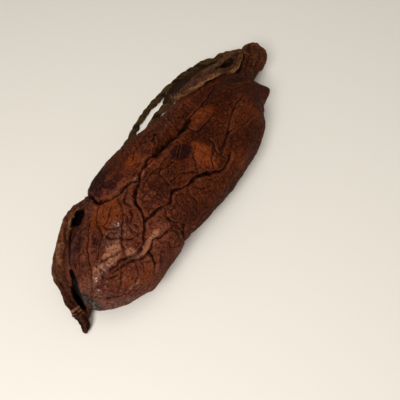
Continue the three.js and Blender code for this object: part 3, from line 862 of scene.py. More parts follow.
# The flap, twisted more closely in its tail, with a ring where the tail begins
flap_spine, flap_along = paced_sections(FLAP_SECTIONS, FLAP_ROWS)
from_tip = flap_along[-1] - flap_along
tail_share = steps_between(flap_along[-1] - 0.02, flap_along[-1] - 0.01, flap_along)[:, None]
flap_height = pleats(flap_along, FLAP_COLUMNS, count=4, depth=0.00045, pitch=0.16)
tail_pleats = pleats(flap_along, FLAP_COLUMNS, count=3, depth=0.0003, pitch=0.012)
tail_ring = TAIL_RING * bell(TAIL_RING_PLACE - from_tip, TAIL_RING_BREADTH)[:, None]
flap_height = flap_height + tail_share * tail_pleats + tail_ring
flap_turn = np.linspace(-180, 180, FLAP_COLUMNS, endpoint=False)[None, :]
flap_x = flap_spine[:, 0, None]
by_slit = steps_between(*SLIT_STARTS, flap_x) * (1 - steps_between(*SLIT_ENDS, flap_x))
flap_shade = 0.8 * bell(flap_turn + 25, 40, 4) * by_slit
flap_shade = np.maximum(flap_shade, 0.35 * (flap_height < -0.0006))
crinkles = sum(
    strength * bell(place - from_tip, breadth)
    for place, breadth, strength in ((0.0172, 0.0011, 1.2), (0.0147, 0.0006, 0.8), (0.0124, 0.0006, 0.7))
)

# The web under the flap, and the one beside the neck; both lie in shade and are painted half dark as shade
web_spine, web_along = paced_sections(WEB_SECTIONS, WEB_ROWS)
web_height = pleats(web_along, WEB_COLUMNS, count=3, depth=0.0003, pitch=0.1)
neck_web_spine, neck_web_along = paced_sections(NECK_WEB_SECTIONS, WEB_ROWS)
neck_web_height = pleats(neck_web_along, WEB_COLUMNS, count=3, depth=0.0003, pitch=0.2)

shells = [
    swept_skin(body_spine, body_along, body_height, END_ROUNDING, CORNER_ROUNDING),
    swept_skin(neck_spine, neck_along, neck_height, NECK_ROUNDING, NECK_ROUNDING),
    swept_skin(flap_spine, flap_along, flap_height, FLAP_ROUNDING, FLAP_ROUNDING),
    swept_skin(web_spine, web_along, web_height, WEB_ROUNDING, WEB_ROUNDING),
    swept_skin(neck_web_spine, neck_web_along, neck_web_height, WEB_ROUNDING, WEB_ROUNDING),
]
calm = [np.zeros(shell.shape[:2]) for shell in shells]
shell_fields = {
    # The fold field is painted shade: soft shade in the deep folds, in the hollows of the neck's and the
    # flap's pleats, on the flap's side towards the body by the slit, and half over the two webs, which lie in
    # shade
    "fold": [body_shade, 0.35 * (neck_height < -0.0004), flap_shade, calm[3] + 0.5, calm[4] + 0.55],
    "crease": [body_crease] + calm[1:],
    "side": [body_side] + [field + CREASE_FAR for field in calm[1:]],
    "tied": [calm[0], calm[1] + 1, calm[2], calm[3], calm[4] + 1],
    "flap": [calm[0], calm[1], calm[2] + 1, calm[3], calm[4]],
}
for kind, stains in STAINS.items():
    shell_fields[kind] = [stain_field(stains, body_place)] + calm[1:]
shell_fields["dry"][2] = calm[2] + crinkles[:, None]
shell_points, shell_faces = [], []
for shell in shells:
    shell_faces += grid_faces(shell.shape[0], shell.shape[1], sum(len(points) for points in shell_points))
    shell_points.append((shell - DRAWING_MIDDLE).reshape(-1, 3))
shell_points = np.vstack(shell_points)
shell_values = {
    name: np.concatenate([np.asarray(field, float).ravel() for field in fields])
    for name, fields in shell_fields.items()
}
for left_alone, sinks_whole, sinking, opening, mouth in HOLLOWS:
    way_in = np.array(opening) / np.linalg.norm(opening)
    mouth_line = evenly_along(mouth, HOLLOW_STEP)
    offset = shell_points[:, None] - (mouth_line[None, :, :3] - DRAWING_MIDDLE)
    offset = offset - (offset @ way_in)[..., None] * way_in
    past_edge = (np.linalg.norm(offset, axis=2) - mouth_line[None, :, 3]).min(axis=1)
    free = steps_between(left_alone, sinks_whole, shell_points[:, 2])
    inside = (1 - steps_between(-HOLLOW_EDGE, HOLLOW_EDGE, past_edge)) * free
    # the mouths of the hollows and the skin inside them are painted dark as shade
    darkened = (1 - steps_between(-HOLLOW_EDGE, 0.8 * HOLLOW_EDGE, past_edge)) * free
    shell_values["fold"] = np.maximum(shell_values["fold"], darkened)
    shell_points = shell_points + inside[:, None] * sinking * way_in
shell_points[:, 2] = np.maximum(shell_points[:, 2], 0)
raw_skin = mesh_object("raw_skin", shell_points, shell_faces)
for name, values in shell_values.items():
    store(raw_skin, name, values)


def tree_input(tree, name, kind, value):
    """A named input of a node tree, with the value it starts from."""
    socket = tree.interface.new_socket(name=name, in_out="INPUT", socket_type=kind)
    if value is not None:
        socket.default_value = value
    return socket.identifier


def arithmetic(tree, operation, first, second=None):
    """The result of a Math node on sockets or numbers."""
    node = placed(tree, "ShaderNodeMath", operation=operation)
    for socket, value in zip(node.inputs, (first, second)):
        if value is not None:
            given(tree, socket, value)
    return node.outputs[0]


def product(tree, first, *others):
    """The product of sockets or numbers."""
    for other in others:
        first = arithmetic(tree, "MULTIPLY", first, other)
    return first


def winding_line(tree, noise, reach, strength):
    """A thin line that winds along wherever a noise passes its middle value."""
    off = arithmetic(tree, "ABSOLUTE", arithmetic(tree, "SUBTRACT", noise, 0.5))
    return ranged(tree, off, reach, 0.0, 0.0, strength)


# The fine wrinkles that the skin shrinks into, as Geometry Nodes on the closed skin
SKIN_WRINKLES = {"Wrinkle spacing": 0.0045, "Wrinkle depth": 0.0003, "Wander": 0.004, "Lump height": 0.0004}
skin_tree = bpy.data.node_groups.new("casing_wrinkles", "GeometryNodeTree")
skin_tree.interface.new_socket(name="Geometry", in_out="OUTPUT", socket_type="NodeSocketGeometry")
tree_input(skin_tree, "Geometry", "NodeSocketGeometry", None)
skin_inputs = {
    name: tree_input(skin_tree, name, "NodeSocketFloat", value)
    for name, value in SKIN_WRINKLES.items()
}
skin_inputs["Marked skin"] = tree_input(skin_tree, "Marked skin", "NodeSocketObject", None)
skin_inputs["Skin"] = tree_input(skin_tree, "Skin", "NodeSocketMaterial", None)
entry = placed(skin_tree, "NodeGroupInput")
leave = placed(skin_tree, "NodeGroupOutput")
marked_skin = placed(skin_tree, "GeometryNodeObjectInfo")
skin_tree.links.new(entry.outputs["Marked skin"], marked_skin.inputs["Object"])
flow = entry.outputs["Geometry"]
for name in shell_fields:
    read = placed(skin_tree, "GeometryNodeInputNamedAttribute", in_name=name)
    nearest_skin = placed(skin_tree, "GeometryNodeSampleNearestSurface")
    keep = placed(skin_tree, "GeometryNodeStoreNamedAttribute", in_name=name)
    joined(skin_tree, [
        (marked_skin.outputs["Geometry"], nearest_skin.inputs["Mesh"]),
        (read.outputs["Attribute"], nearest_skin.inputs["Value"]),
        (nearest_skin.outputs["Value"], keep.inputs["Value"]),
        (flow, keep.inputs["Geometry"]),
    ])
    flow = keep.outputs["Geometry"]
where = placed(skin_tree, "GeometryNodeInputPosition").outputs["Position"]
wander = placed(skin_tree, "ShaderNodeTexNoise", in_scale=140, in_detail=2)
centred = placed(skin_tree, "ShaderNodeVectorMath", operation="SUBTRACT")
centred.inputs[1].default_value = (0.5, 0.5, 0.5)
shift = placed(skin_tree, "ShaderNodeVectorMath", operation="SCALE")
moved = placed(skin_tree, "ShaderNodeVectorMath", operation="ADD")
cells = placed(skin_tree, "ShaderNodeTexVoronoi", feature="DISTANCE_TO_EDGE")
per_metre = arithmetic(skin_tree, "DIVIDE", 1.0, entry.outputs["Wrinkle spacing"])
joined(skin_tree, [
    (where, wander.inputs["Vector"]),
    (wander.outputs["Color"], centred.inputs[0]),
    (centred.outputs["Vector"], shift.inputs[0]),
    (entry.outputs["Wander"], shift.inputs["Scale"]),
    (where, moved.inputs[0]),
    (shift.outputs["Vector"], moved.inputs[1]),
    (moved.outputs["Vector"], cells.inputs["Vector"]),
    (per_metre, cells.inputs["Scale"]),
])
crack = ranged(skin_tree, cells.outputs["Distance"], 0.16, 0.0)
lumpy = arithmetic(skin_tree, "SUBTRACT", noise_on(skin_tree, where, 190, 3, 0.6), 0.5)
rise = product(skin_tree, lumpy, entry.outputs["Lump height"], 3.0)
patchy = ranged(skin_tree, noise_on(skin_tree, where, 45, 1), 0.38, 0.62, 0.25, 1.0)
fall = product(skin_tree, crack, entry.outputs["Wrinkle depth"], patchy)
for scale, reach, share in ((105, 0.03, 0.7), (210, 0.035, 0.4)):
    line = winding_line(skin_tree, noise_on(skin_tree, where, scale, 1, 0.5, 0.6), reach, share)
    fall = arithmetic(skin_tree, "ADD", fall, product(skin_tree, line, entry.outputs["Wrinkle depth"]))
level = placed(skin_tree, "ShaderNodeSeparateXYZ")
skin_tree.links.new(where, level.inputs["Vector"])
clear_of_floor = ranged(skin_tree, level.outputs["Z"], 0.001, 0.006)
lift = product(skin_tree, arithmetic(skin_tree, "SUBTRACT", rise, fall), clear_of_floor)
outward = placed(skin_tree, "ShaderNodeVectorMath", operation="SCALE")
push = placed(skin_tree, "GeometryNodeSetPosition")
keep = placed(skin_tree, "GeometryNodeStoreNamedAttribute", in_name="crackle")
real = placed(skin_tree, "GeometryNodeRealizeInstances")
clothe = placed(skin_tree, "GeometryNodeSetMaterial")
joined(skin_tree, [
    (placed(skin_tree, "GeometryNodeInputNormal").outputs["Normal"], outward.inputs[0]),
    (lift, outward.inputs["Scale"]),
    (flow, keep.inputs["Geometry"]),
    (crack, keep.inputs["Value"]),
    (keep.outputs["Geometry"], push.inputs["Geometry"]),
    (outward.outputs["Vector"], push.inputs["Offset"]),
    (push.outputs["Geometry"], real.inputs["Geometry"]),
    (real.outputs["Geometry"], clothe.inputs["Geometry"]),
    (entry.outputs["Skin"], clothe.inputs["Material"]),
    (clothe.outputs["Geometry"], leave.inputs["Geometry"]),
])

casing_material, tree, shader = new_material("smoked casing")
sausage = mesh_object("wrinkled_sausage_skin", shell_points, shell_faces)
remesh = sausage.modifiers.new("even skin", "REMESH")
remesh.mode = "VOXEL"
remesh.voxel_size = SKIN_VOXEL
remesh.use_smooth_shade = True
soften = sausage.modifiers.new("soften", "SMOOTH")
soften.factor = 0.5
soften.iterations = 1
wrinkles = sausage.modifiers.new("casing wrinkles", "NODES")
wrinkles.node_group = skin_tree
for name, value in {**SKIN_WRINKLES, "Marked skin": raw_skin, "Skin": casing_material}.items():
    wrinkles[skin_inputs[name]] = value
thin_out = sausage.modifiers.new("thin out", "DECIMATE")
thin_out.ratio = SKIN_THINNING


def made_plain(made, name):
    """The evaluated mesh of an object as a plain one of its own, in place of the object."""
    mesh = bpy.data.meshes.new_from_object(made.evaluated_get(bpy.context.evaluated_depsgraph_get()))
    bpy.data.objects.remove(made)
    mesh.name = name
    plain = bpy.data.objects.new(name, mesh)
    bpy.context.scene.collection.objects.link(plain)
    return plain


sausage = made_plain(sausage, "wrinkled_sausage_skin")
bpy.data.objects.remove(raw_skin)


def hollows(made, rounds):
    """How far each point lies in a hollow of its surface, in millimetres, after rounds of smoothing."""
    mesh = made.data
    count = len(mesh.vertices)
    points = np.empty(count * 3, np.float32)
    mesh.vertices.foreach_get("co", points)
    normals = np.empty(count * 3, np.float32)
    mesh.vertices.foreach_get("normal", normals)
    ends = np.empty(len(mesh.edges) * 2, np.int32)
    mesh.edges.foreach_get("vertices", ends)
    points, normals, ends = points.reshape(-1, 3), normals.reshape(-1, 3), ends.reshape(-1, 2)
    smooth = points.astype(float)
    number = np.maximum(np.bincount(ends.ravel(), minlength=count), 1)
    for _ in range(rounds):
        total = np.zeros((count, 3))
        for axis in range(3):
            total[:, axis] = np.bincount(ends[:, 0], smooth[ends[:, 1], axis], count)
            total[:, axis] += np.bincount(ends[:, 1], smooth[ends[:, 0], axis], count)
        smooth = STIFFNESS * smooth + (1 - STIFFNESS) * total / number[:, None]
    return 1000 * ((smooth - points) * normals).sum(axis=1)


# How deep each point lies in small and in broad hollows, for painted shade in them and a painted highlight on
# the crests
store(sausage, "pore_painted_shade", hollows(sausage, PORE_ROUNDS))
store(sausage, "hollow_painted_light", hollows(sausage, HOLLOW_ROUNDS))
underneath = sausage.vertex_groups.new(name="underneath")
low_points = [vertex.index for vertex in sausage.data.vertices if vertex.normal.z < UNDERSIDE]
underneath.add(low_points, 1, "REPLACE")
thin_under = sausage.modifiers.new("thin out underneath", "DECIMATE")
thin_under.vertex_group = "underneath"
thin_under.vertex_group_factor = 1
thin_under.ratio = SKIN_TRIANGLES / sum(len(polygon.vertices) - 2 for polygon in sausage.data.polygons)
sausage = made_plain(sausage, "wrinkled_sausage")
sausage.vertex_groups.clear()

# Shades of the casing as they look, from 0 to 255; some are also laid on as painted shade, highlight and
# sheen, as marked where they are used
CASING_SHADES = {
    "brown": (66, 30, 15), "base": (85, 39, 21), "rosy": (109, 59, 45), "flank": (58, 22, 7),
    "ember": (93, 36, 14), "pale": (126, 66, 40), "net": (40, 17, 9), "fold": (12, 6, 5),
    "tied": (77, 46, 29), "flap": (86, 51, 33), "streak": (140, 98, 64), "fat": (114, 53, 23),
    "dry": (154, 101, 76), "lean": (37, 17, 20), "bloom": (106, 68, 56), "ash": (46, 42, 35),
    "soot": (43, 26, 18),
}
STAIN_STRENGTHS = {"fat": 0.88, "dry": 0.85, "bloom": 0.6, "lean": 0.86, "ash": 0.9, "soot": 0.55}
NET_BEND = 0.006  # how far the nets of fine creases are bent out of line
LINE_DARKNESS = 0.7
CLOSE_NET_DARKNESS = 0.95


def shade_of(red, green, blue):
    """Linear colour for a shade given as it looks."""
    return tuple((channel / 255) ** 2.2 for channel in (red, green, blue)) + (1.0,)


def skin_grain_group():
    """Shader nodes for the fine relief of dried gut: creases, parallel ridges and a soft grain."""
    group = bpy.data.node_groups.new("dried_skin_grain", "ShaderNodeTree")
    tree_input(group, "Cracks", "NodeSocketFloat", 280.0)
    tree_input(group, "Grain", "NodeSocketFloat", 1500.0)
    for name in ("Height", "Lines", "Close net"):
        group.interface.new_socket(name=name, in_out="OUTPUT", socket_type="NodeSocketFloat")
    values = placed(group, "NodeGroupInput")
    result = placed(group, "NodeGroupOutput")
    spot = placed(group, "ShaderNodeTexCoord").outputs["Object"]

    def sized(kind, share, vector=spot, **settings):
        """A texture over a vector, at a share of the scale of the group's cracks."""
        texture = placed(group, kind, **settings)
        joined(group, [
            (product(group, values.outputs["Cracks"], share), texture.inputs["Scale"]),
            (vector, texture.inputs["Vector"]),
        ])
        return texture.outputs

    bent = placed(group, "ShaderNodeVectorMath", operation="MULTIPLY_ADD")
    bent.inputs[1].default_value = (NET_BEND, NET_BEND, NET_BEND)
    joined(group, [
        (sized("ShaderNodeTexNoise", 0.45, in_detail=3)["Color"], bent.inputs[0]),
        (spot, bent.inputs[2]),
    ])
    bent = bent.outputs["Vector"]
    lines = 0.0
    for share, reach, weight in ((0.42, 0.05, 1.0), (0.85, 0.065, 0.65)):
        net = sized("ShaderNodeTexVoronoi", share, bent, feature="DISTANCE_TO_EDGE")["Distance"]
        lines = arithmetic(group, "MAXIMUM", lines, ranged(group, net, reach, 0.0, 0.0, weight))
    for share, reach in ((0.55, 0.018), (1.2, 0.03)):
        vein = sized("ShaderNodeTexNoise", share, in_detail=1, in_distortion=0.4)["Fac"]
        lines = arithmetic(group, "MAXIMUM", lines, winding_line(group, vein, reach, 0.9))
    shrunk = sized("ShaderNodeTexNoise", 0.16, in_detail=2)["Fac"]
    lines = product(group, lines, ranged(group, shrunk, 0.36, 0.6, 0.2, 1.0))
    close = sized("ShaderNodeTexVoronoi", 0.8, bent, feature="DISTANCE_TO_EDGE")["Distance"]
    grain = placed(group, "ShaderNodeTexNoise", in_detail=3)
    ridges = sized("ShaderNodeTexWave", 0.55, bent, in_distortion=9, in_detail=2, in_detail_scale=0.7)["Fac"]
    ridged = ranged(group, sized("ShaderNodeTexNoise", 0.26, in_detail=1)["Fac"], 0.45, 0.58, 0.0, 0.7)
    ridged = product(group, ridges, ridged)
    height = arithmetic(group, "ADD", product(group, grain.outputs["Fac"], 0.6), ridged)
    joined(group, [
        (spot, grain.inputs["Vector"]),
        (values.outputs["Grain"], grain.inputs["Scale"]),
        (arithmetic(group, "SUBTRACT", height, lines), result.inputs["Height"]),
        (ranged(group, close, 0.17, 0.0), result.inputs["Close net"]),
        (lines, result.inputs["Lines"]),
    ])
    return group


skin_grain = skin_grain_group()
grain = placed(tree, "ShaderNodeGroup", node_tree=skin_grain, in_cracks=330, in_grain=1400)
level = placed(tree, "ShaderNodeSeparateXYZ")
tree.links.new(placed(tree, "ShaderNodeTexCoord").outputs["Object"], level.inputs["Vector"])
medium = noise_at(tree, 140, 4, 0.6, 0.3)
small = noise_at(tree, 520, 4, 0.65, 0.7)

# Painted shade on the flanks low down towards the floor, the charred tail, the pale streaks on the flap and
# the pale flecks elsewhere
painted_low_shade = ranged(tree, level.outputs["Z"], 0.032, 0.014, 0.0, 0.85)
painted_low_shade = product(tree, painted_low_shade, ranged(tree, level.outputs["X"], -0.07, -0.035))
flap = stored(tree, "flap")
charred = product(tree, ranged(tree, level.outputs["X"], -0.089, -0.111, 0.0, 0.95), flap)
streak = product(tree, ranged(tree, noise_at(tree, 210, 4, 0.6, 4.3), 0.5, 0.66, 0.0, 0.8), flap)
fleck = ranged(tree, noise_at(tree, 760, 2, 0.6, 3.1), 0.54, 0.7, 0.0, 0.5)
for kind in ("flap", "tied"):
    fleck = product(tree, fleck, marked(tree, kind, 0.2, 0.8, 1.0, 0.1))

# Stains of the filling, with ragged outlines
ragged = product(tree, arithmetic(tree, "SUBTRACT", medium, 0.5), 1.1)
ragged_fine = product(tree, arithmetic(tree, "SUBTRACT", small, 0.5), 0.5)
ragged = arithmetic(tree, "ADD", ragged, ragged_fine)
stain_layers = []
# each stain is the skin's own colour, but the bloom's paler mauve is partly painted sheen and one soot patch
# is painted shade
for kind, most in STAIN_STRENGTHS.items():
    stain = ranged(tree, arithmetic(tree, "ADD", stored(tree, kind), ragged), 0.35, 0.75, 0.0, most)
    stain_layers.append((product(tree, stain, marked(tree, kind, 0.03, 0.15)), kind))

# Lines of the shrunken skin, darkened as painted shade in its fine creases: a loose net everywhere, and a
# close one where it is sooty or crackled
sooty = marked(tree, "soot", 0.05, 0.35, 0.0, 0.7)
netted = product(tree, marked(tree, "netted", 0.1, 0.7, 0.35, 1.0), marked(tree, "crackle", 0.1, 0.8))
close_net = product(tree, grain.outputs["Close net"], CLOSE_NET_DARKNESS)
close_net = product(tree, close_net, arithmetic(tree, "MAXIMUM", sooty, netted))
lines = arithmetic(tree, "MAXIMUM", product(tree, grain.outputs["Lines"], LINE_DARKNESS), close_net)
for kind, least in (("fat", 0.32), ("dry", 0.25), ("flap", 0.4)):
    lines = product(tree, lines, marked(tree, kind, 0.3, 0.8, 1.0, least))

# The folds' own dark lines, painted shade in the creases, and the pale rims beside them, a painted highlight
# on their lips
beside_crease = arithmetic(tree, "ABSOLUTE", stored(tree, "side"))
painted_rim_highlight = ranged(tree, beside_crease, 1.4, 2.2)
painted_rim_highlight = product(tree, painted_rim_highlight, ranged(tree, beside_crease, 3.0, 3.9, 1.0, 0.0), 0.4, stored(tree, "crease"))
painted_crease_shade = product(tree, ranged(tree, beside_crease, 1.5, 0.5, 0.0, 0.95), stored(tree, "crease"))
broken = ranged(tree, noise_at(tree, 300, 2, 0.5, 5.1), 0.36, 0.58, 0.45, 1.0)

casing_layers = [  # from the ground up, each the share that shows and its shade
    (ranged(tree, noise_at(tree, 38, 3), 0.38, 0.62), "base"),
    # lighter and rosier towards the rounded end, partly the skin's own colour and partly painted light
    (ranged(tree, level.outputs["X"], -0.015, -0.065, 0.0, 0.7), "rosy"),
    (painted_low_shade, "flank"),
    (ranged(tree, medium, 0.5, 0.72, 0.0, 0.42), "net"),
    (ranged(tree, noise_at(tree, 75, 3, 0.55, 1.7), 0.56, 0.7, 0.0, 0.4), "ember"),
    (marked(tree, "tied", 0.2, 0.8, 0.0, 0.85), "tied"),
    (marked(tree, "flap", 0.2, 0.8, 0.0, 0.75), "flap"),
    (streak, "streak"),
    (winding_line(tree, noise_at(tree, 430, 2, 0.5, 6.2), 0.03, 0.28), "pale"),
    (fleck, "pale"),
    (charred, "net"),
    *stain_layers,
    # crests lighter, partly dry wear and partly painted highlight; small and broad hollows darker as painted
    # shade
    (product(tree, marked(tree, "hollow_painted_light", -0.15, -0.7, 0.0, 0.22), medium), "dry"),
    (marked(tree, "pore_painted_shade", 0.012, 0.08, 0.0, 0.6), "net"),
    (marked(tree, "hollow_painted_light", 0.25, 1.2, 0.0, 0.4), "net"),
    (lines, "net"),
    # painted shade in the folds, the pleats, the pit and slit by the flap, and over the webs
    (marked(tree, "fold", 0.15, 0.8, 0.0, 0.95), "fold"),
    (painted_rim_highlight, "pale"),
    (product(tree, painted_crease_shade, broken), "fold"),
]
shades = {name: shade_of(*shade) for name, shade in CASING_SHADES.items()}
tone = layered(tree, shades["brown"], [(share, shades[name]) for share, name in casing_layers])
tree.links.new(tone, shader.inputs["Base Color"])
tree.links.new(ranged(tree, small, 0.3, 0.7, 0.45, 0.7), shader.inputs["Roughness"])
shader.inputs["Specular IOR Level"].default_value = 0.04

# Fat has sweated out in small drops where the casing has bloomed
drops = ranged(tree, noise_at(tree, 620, 2, 0.5, 2.3), 0.53, 0.62, 0.02, 0.8)
tree.links.new(product(tree, drops, marked(tree, "bloom", 0.1, 0.7, 0.03, 0.8)), shader.inputs["Coat Weight"])
shader.inputs["Coat Roughness"].default_value = 0.22
relief = arithmetic(tree, "SUBTRACT", grain.outputs["Height"], close_net)
embossed(tree, shader, relief, strength=0.9, distance=0.0006)
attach(sausage, "root")
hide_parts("sausage")

# The gut strip
# A spare end of the gut, held by the knot alone and dried on the shoulder: a thin flat ribbon, crumpled
# across, with rolled edges and a frayed end. Two more lengths lie beside it, one rolled up on itself and
# one near black, a sheet of painted shade between the twine and the sausage.
STRIP_THICKNESS = 0.0008
STRIP_ROWS = 260
STRIP_COLUMNS = 72
STRIP_ROUNDING = 0.0015
STRIP_ROLL = 0.0011  # how far its edges roll up
STRIP_SETTLING = 0.0003
STRIP_CLEARANCE = 0.0011
STRIP_SEARCH = 0.012  # how near the skin must be to carry the strip
STRIP_FLOOR_GAP = 0.0003
STRIP_SECTIONS = [  # middle, half width and degrees of lean, from the knob outwards
    (0.1034, 0.0217, 0.024, 0.0015, 5),
    (0.0978, 0.0196, 0.0235, 0.0025, 5),
    (0.0922, 0.0178, 0.0234, 0.003, 5),
    (0.0864, 0.0167, 0.0242, 0.0032, 8),
    (0.0791, 0.0164, 0.027, 0.0034, 12),
    (0.0715, 0.0175, 0.031, 0.0042, 16),
    (0.0642, 0.0197, 0.0345, 0.0053, 20),
    (0.0579, 0.0211, 0.0365, 0.0061, 22),
    (0.0518, 0.022, 0.038, 0.0061, 24),
    (0.0455, 0.0224, 0.0393, 0.0056, 26),
    (0.0408, 0.0238, 0.0388, 0.005, 28),
    (0.0378, 0.0266, 0.036, 0.0042, 28),
    (0.0365, 0.0308, 0.0315, 0.0031, 20),
    (0.0368, 0.0356, 0.026, 0.0016, 10),
]
ROLLED_LENGTH_SECTIONS = [  # middle, half width and half height of the length that is rolled up on itself
    (0.1022, 0.0215, 0.025, 0.0012, 0.001),
    (0.098, 0.0244, 0.0245, 0.0018, 0.0014),
    (0.0931, 0.0264, 0.024, 0.002, 0.0016),
    (0.0862, 0.0271, 0.0245, 0.0018, 0.0014),
    (0.0791, 0.0275, 0.026, 0.0015, 0.0013),
    (0.0716, 0.0285, 0.0285, 0.0015, 0.0013),
    (0.0643, 0.0295, 0.0305, 0.0014, 0.0012),
    (0.0574, 0.0301, 0.0315, 0.0014, 0.0012),
    (0.0518, 0.0307, 0.0315, 0.0014, 0.0012),
    (0.0477, 0.0324, 0.029, 0.0012, 0.001),
    (0.0449, 0.0352, 0.025, 0.0009, 0.0008),
]
PAINTED_SHADE_LENGTH_SECTIONS = [  # and of the dark one that lies under it, beside the twine, a sheet painted near black as shade
    (0.1032, 0.0225, 0.017, 0.0025, 0.0014),
    (0.0975, 0.0246, 0.0155, 0.0058, 0.0015),
    (0.093, 0.0288, 0.0138, 0.0068, 0.0015),
    (0.0885, 0.0336, 0.0122, 0.0062, 0.0015),
    (0.0836, 0.0394, 0.0105, 0.005, 0.0016),
    (0.0775, 0.043, 0.009, 0.005, 0.0016),
    (0.0712, 0.0458, 0.0074, 0.005, 0.0015),
    (0.0648, 0.048, 0.0058, 0.0044, 0.0014),
    (0.0584, 0.0494, 0.0044, 0.0042, 0.0013),
    (0.0525, 0.0502, 0.0036, 0.0036, 0.0013),
    (0.0475, 0.0504, 0.0028, 0.0022, 0.0011),
    (0.044, 0.05, 0.0022, 0.001, 0.0009),
]
skin_faces = BVHTree.FromObject(sausage, bpy.context.evaluated_depsgraph_get())


def dried_ribbon(sections):
    """Closed grid of a thin crumpled ribbon through sections, pushed clear of the skin it lies on. Gives
    also each point's place across the ribbon and along it."""
    spine, along = paced_sections(sections, STRIP_ROWS)
    _, aside, above = directions(spine[:, :3])
    lean = np.radians(spine[:, 4])[:, None]
    tilted_aside = np.cos(lean) * aside + np.sin(lean) * above
    tilted_above = np.cos(lean) * above - np.sin(lean) * aside
    turn = np.linspace(-np.pi, np.pi, STRIP_COLUMNS, endpoint=False)
    ends = np.sqrt(np.clip(np.minimum(along, along[-1] - along) / STRIP_ROUNDING, 0.02, 1))[:, None]
    across = np.sign(np.cos(turn)) * np.abs(np.cos(turn)) ** 0.7
    run = along[:, None]
    # Close wrinkles across the ribbon, then long waves, then furrows along it, all deeper at its far end
    ripple = 0.00035 * np.sin(run / 0.0009 + 4 * across) * np.sin(run / 0.0037 + 2 * across)
    ripple = ripple + 0.0002 * np.sin(run / 0.00052 - 5 * across + 1.3) * np.cos(run / 0.0023)
    ripple = ripple + 0.0008 * np.cos(5.5 * across + run / 0.006)
    ripple = ripple + 0.00028 * np.cos(14 * across - run / 0.008 + 0.7 * np.sin(run / 0.0026))
    ripple = ripple * (1 + 1.6 * steps_between(0.72, 0.9, run / run[-1]))
    edge = 1 + 0.05 * np.sin(run / 0.0031) + 0.04 * np.sin(run / 0.0013 + 1)
    rolled = STRIP_ROLL * np.abs(across) ** 3 * (1 + 0.4 * np.sin(run / 0.004))
    tall = ends * (0.5 * STRIP_THICKNESS * np.sin(turn) + ripple + rolled - STRIP_SETTLING)
    middle = spine[:, None, :3] - DRAWING_MIDDLE
    middle = middle + tilted_aside[:, None] * (ends * spine[:, 3, None] * edge * across)[..., None]
    for row, column in np.ndindex(middle.shape[:2]):
        touch, facing, _, _ = skin_faces.find_nearest(Vector(middle[row, column]), STRIP_SEARCH)
        if touch is not None and (Vector(middle[row, column]) - touch).dot(facing) < STRIP_CLEARANCE:
            middle[row, column] = touch + facing * STRIP_CLEARANCE
    points = middle + tilted_above[:, None] * tall[..., None]
    return points, np.tile(across, STRIP_ROWS), np.repeat(along / along[-1], STRIP_COLUMNS)


light_length, light_across, light_run = dried_ribbon(STRIP_SECTIONS)
strip_lengths = [light_length]
for sections, count in ((ROLLED_LENGTH_SECTIONS, 3), (PAINTED_SHADE_LENGTH_SECTIONS, 5)):
    length_spine, length_along = paced_sections(sections, STRIP_ROWS)
    height = pleats(length_along, STRIP_COLUMNS, count, depth=0.00025, pitch=0.03)
    shrivelled = swept_skin(length_spine, length_along, height, STRIP_ROUNDING, 2 * STRIP_ROUNDING)
    shrivelled = shrivelled - DRAWING_MIDDLE
    shrivelled[..., 2] = np.maximum(shrivelled[..., 2], STRIP_FLOOR_GAP)
    strip_lengths.append(shrivelled)
length_points = STRIP_ROWS * STRIP_COLUMNS
strip_faces = []
for number in range(len(strip_lengths)):
    strip_faces += tube_faces(STRIP_ROWS, STRIP_COLUMNS, number * length_points)
gut_strip = mesh_object("gut_strip_ribbon", np.stack(strip_lengths), strip_faces)
store(gut_strip, "across", np.concatenate([light_across, np.zeros(2 * length_points)]))
store(gut_strip, "run", np.concatenate([light_run, np.zeros(2 * length_points)]))
store(gut_strip, "darkened", np.repeat([0.0, 0.5, 1.0], length_points))

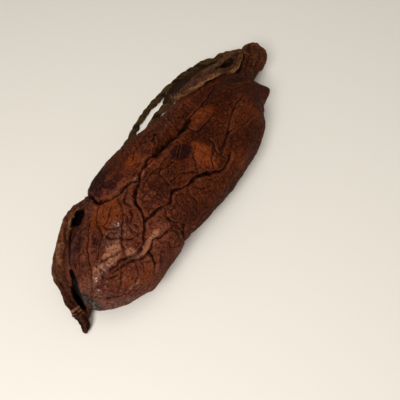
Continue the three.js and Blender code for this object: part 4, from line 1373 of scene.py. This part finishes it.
strip_material, tree, shader = new_material("dried gut strip")
grain = placed(tree, "ShaderNodeGroup", node_tree=skin_grain, in_cracks=430, in_grain=2000)
streak = noise_at(tree, 330, 4, 0.6)
lengthwise = placed(tree, "ShaderNodeCombineXYZ")
joined(tree, [
    (product(tree, stored(tree, "across"), 3.2), lengthwise.inputs["X"]),
    (product(tree, stored(tree, "run"), 7.0), lengthwise.inputs["Y"]),
])
furrow = ranged(tree, noise_on(tree, lengthwise.outputs["Vector"], 1.3, 3), 0.49, 0.4, 0.0, 0.55)
painted_hole_shade = ranged(tree, noise_at(tree, 640, 2, 0.5, 0.9), 0.5, 0.6)
tone = layered(tree, shade_of(98, 60, 34), [
    (ranged(tree, noise_at(tree, 120, 2, 0.5, 0.4), 0.35, 0.65), shade_of(142, 98, 62)),
    (marked(tree, "across", -0.35, 0.25, 1.0, 0.0), shade_of(84, 50, 36)),
    (ranged(tree, streak, 0.5, 0.7, 0.0, 0.7), shade_of(46, 25, 14)),
    # darker along the furrows and the fine creases, as painted shade
    (furrow, shade_of(36, 20, 12)),
    (product(tree, grain.outputs["Lines"], 0.5), shade_of(40, 22, 12)),
    (marked(tree, "across", 0.7, 0.98, 0.0, 0.3), shade_of(138, 98, 62)),
    # dark spots in the crumpled end, painted shade in place of holes
    (product(tree, painted_hole_shade, marked(tree, "run", 0.74, 0.9, 0.0, 0.9)), shade_of(20, 13, 8)),
    # the rolled length darkened to a mid brown, and the last length painted near black as shade
    (marked(tree, "darkened", 0.2, 0.8, 0.0, 0.92), shade_of(30, 18, 10)),
])
tree.links.new(tone, shader.inputs["Base Color"])
tree.links.new(ranged(tree, streak, 0.3, 0.7, 0.45, 0.65), shader.inputs["Roughness"])
shader.inputs["Specular IOR Level"].default_value = 0.1
relief = arithmetic(tree, "SUBTRACT", grain.outputs["Height"], furrow)
embossed(tree, shader, relief, strength=0.7, distance=0.0005)
gut_strip.data.materials.append(strip_material)
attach(gut_strip, "root")
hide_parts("gut_strip")

# The floor and the light
# A plain pale floor, with one soft light in front and a little to the left, a wide one overhead
# and a weak one from the right.
FLOOR_REACH = 3
LIGHTS = [  # name, how far to the picture's right and top and above the floor, size and power
    ("key light", -0.16, -0.45, 0.56, 0.26, 3.7),
    ("top light", 0, -0.1, 1.2, 0.8, 5.6),
    ("fill light", 0.6, 0.3, 0.7, 0.8, 0.6),
]
floor_corners = [(FLOOR_REACH * x, FLOOR_REACH * y, 0) for x, y in ((-1, -1), (1, -1), (1, 1), (-1, 1))]
floor = mesh_object("floor", floor_corners, [(0, 1, 2, 3)])
floor_material, tree, shader = new_material("pale floor")
shader.inputs["Base Color"].default_value = (0.76, 0.71, 0.63, 1)
shader.inputs["Roughness"].default_value = 0.8
floor.data.materials.append(floor_material)
to_right = Vector((math.cos(CAMERA_TURN), math.sin(CAMERA_TURN), 0))
to_top = Vector((-math.sin(CAMERA_TURN), math.cos(CAMERA_TURN), 0))
for name, rightward, topward, height, size, power in LIGHTS:
    lamp = bpy.data.objects.new(name, bpy.data.lights.new(name, "AREA"))
    lamp.data.size = size
    lamp.data.energy = power
    lamp.location = rightward * to_right + topward * to_top + Vector((0, 0, height))
    lamp.rotation_euler = (-lamp.location).to_track_quat("-Z", "Y").to_euler()
    bpy.context.scene.collection.objects.link(lamp)
world = bpy.data.worlds.new("pale room")
world.use_nodes = True
world.node_tree.nodes["Background"].inputs["Color"].default_value = (1, 0.95, 0.88, 1)
world.node_tree.nodes["Background"].inputs["Strength"].default_value = 0.2
bpy.context.scene.world = world
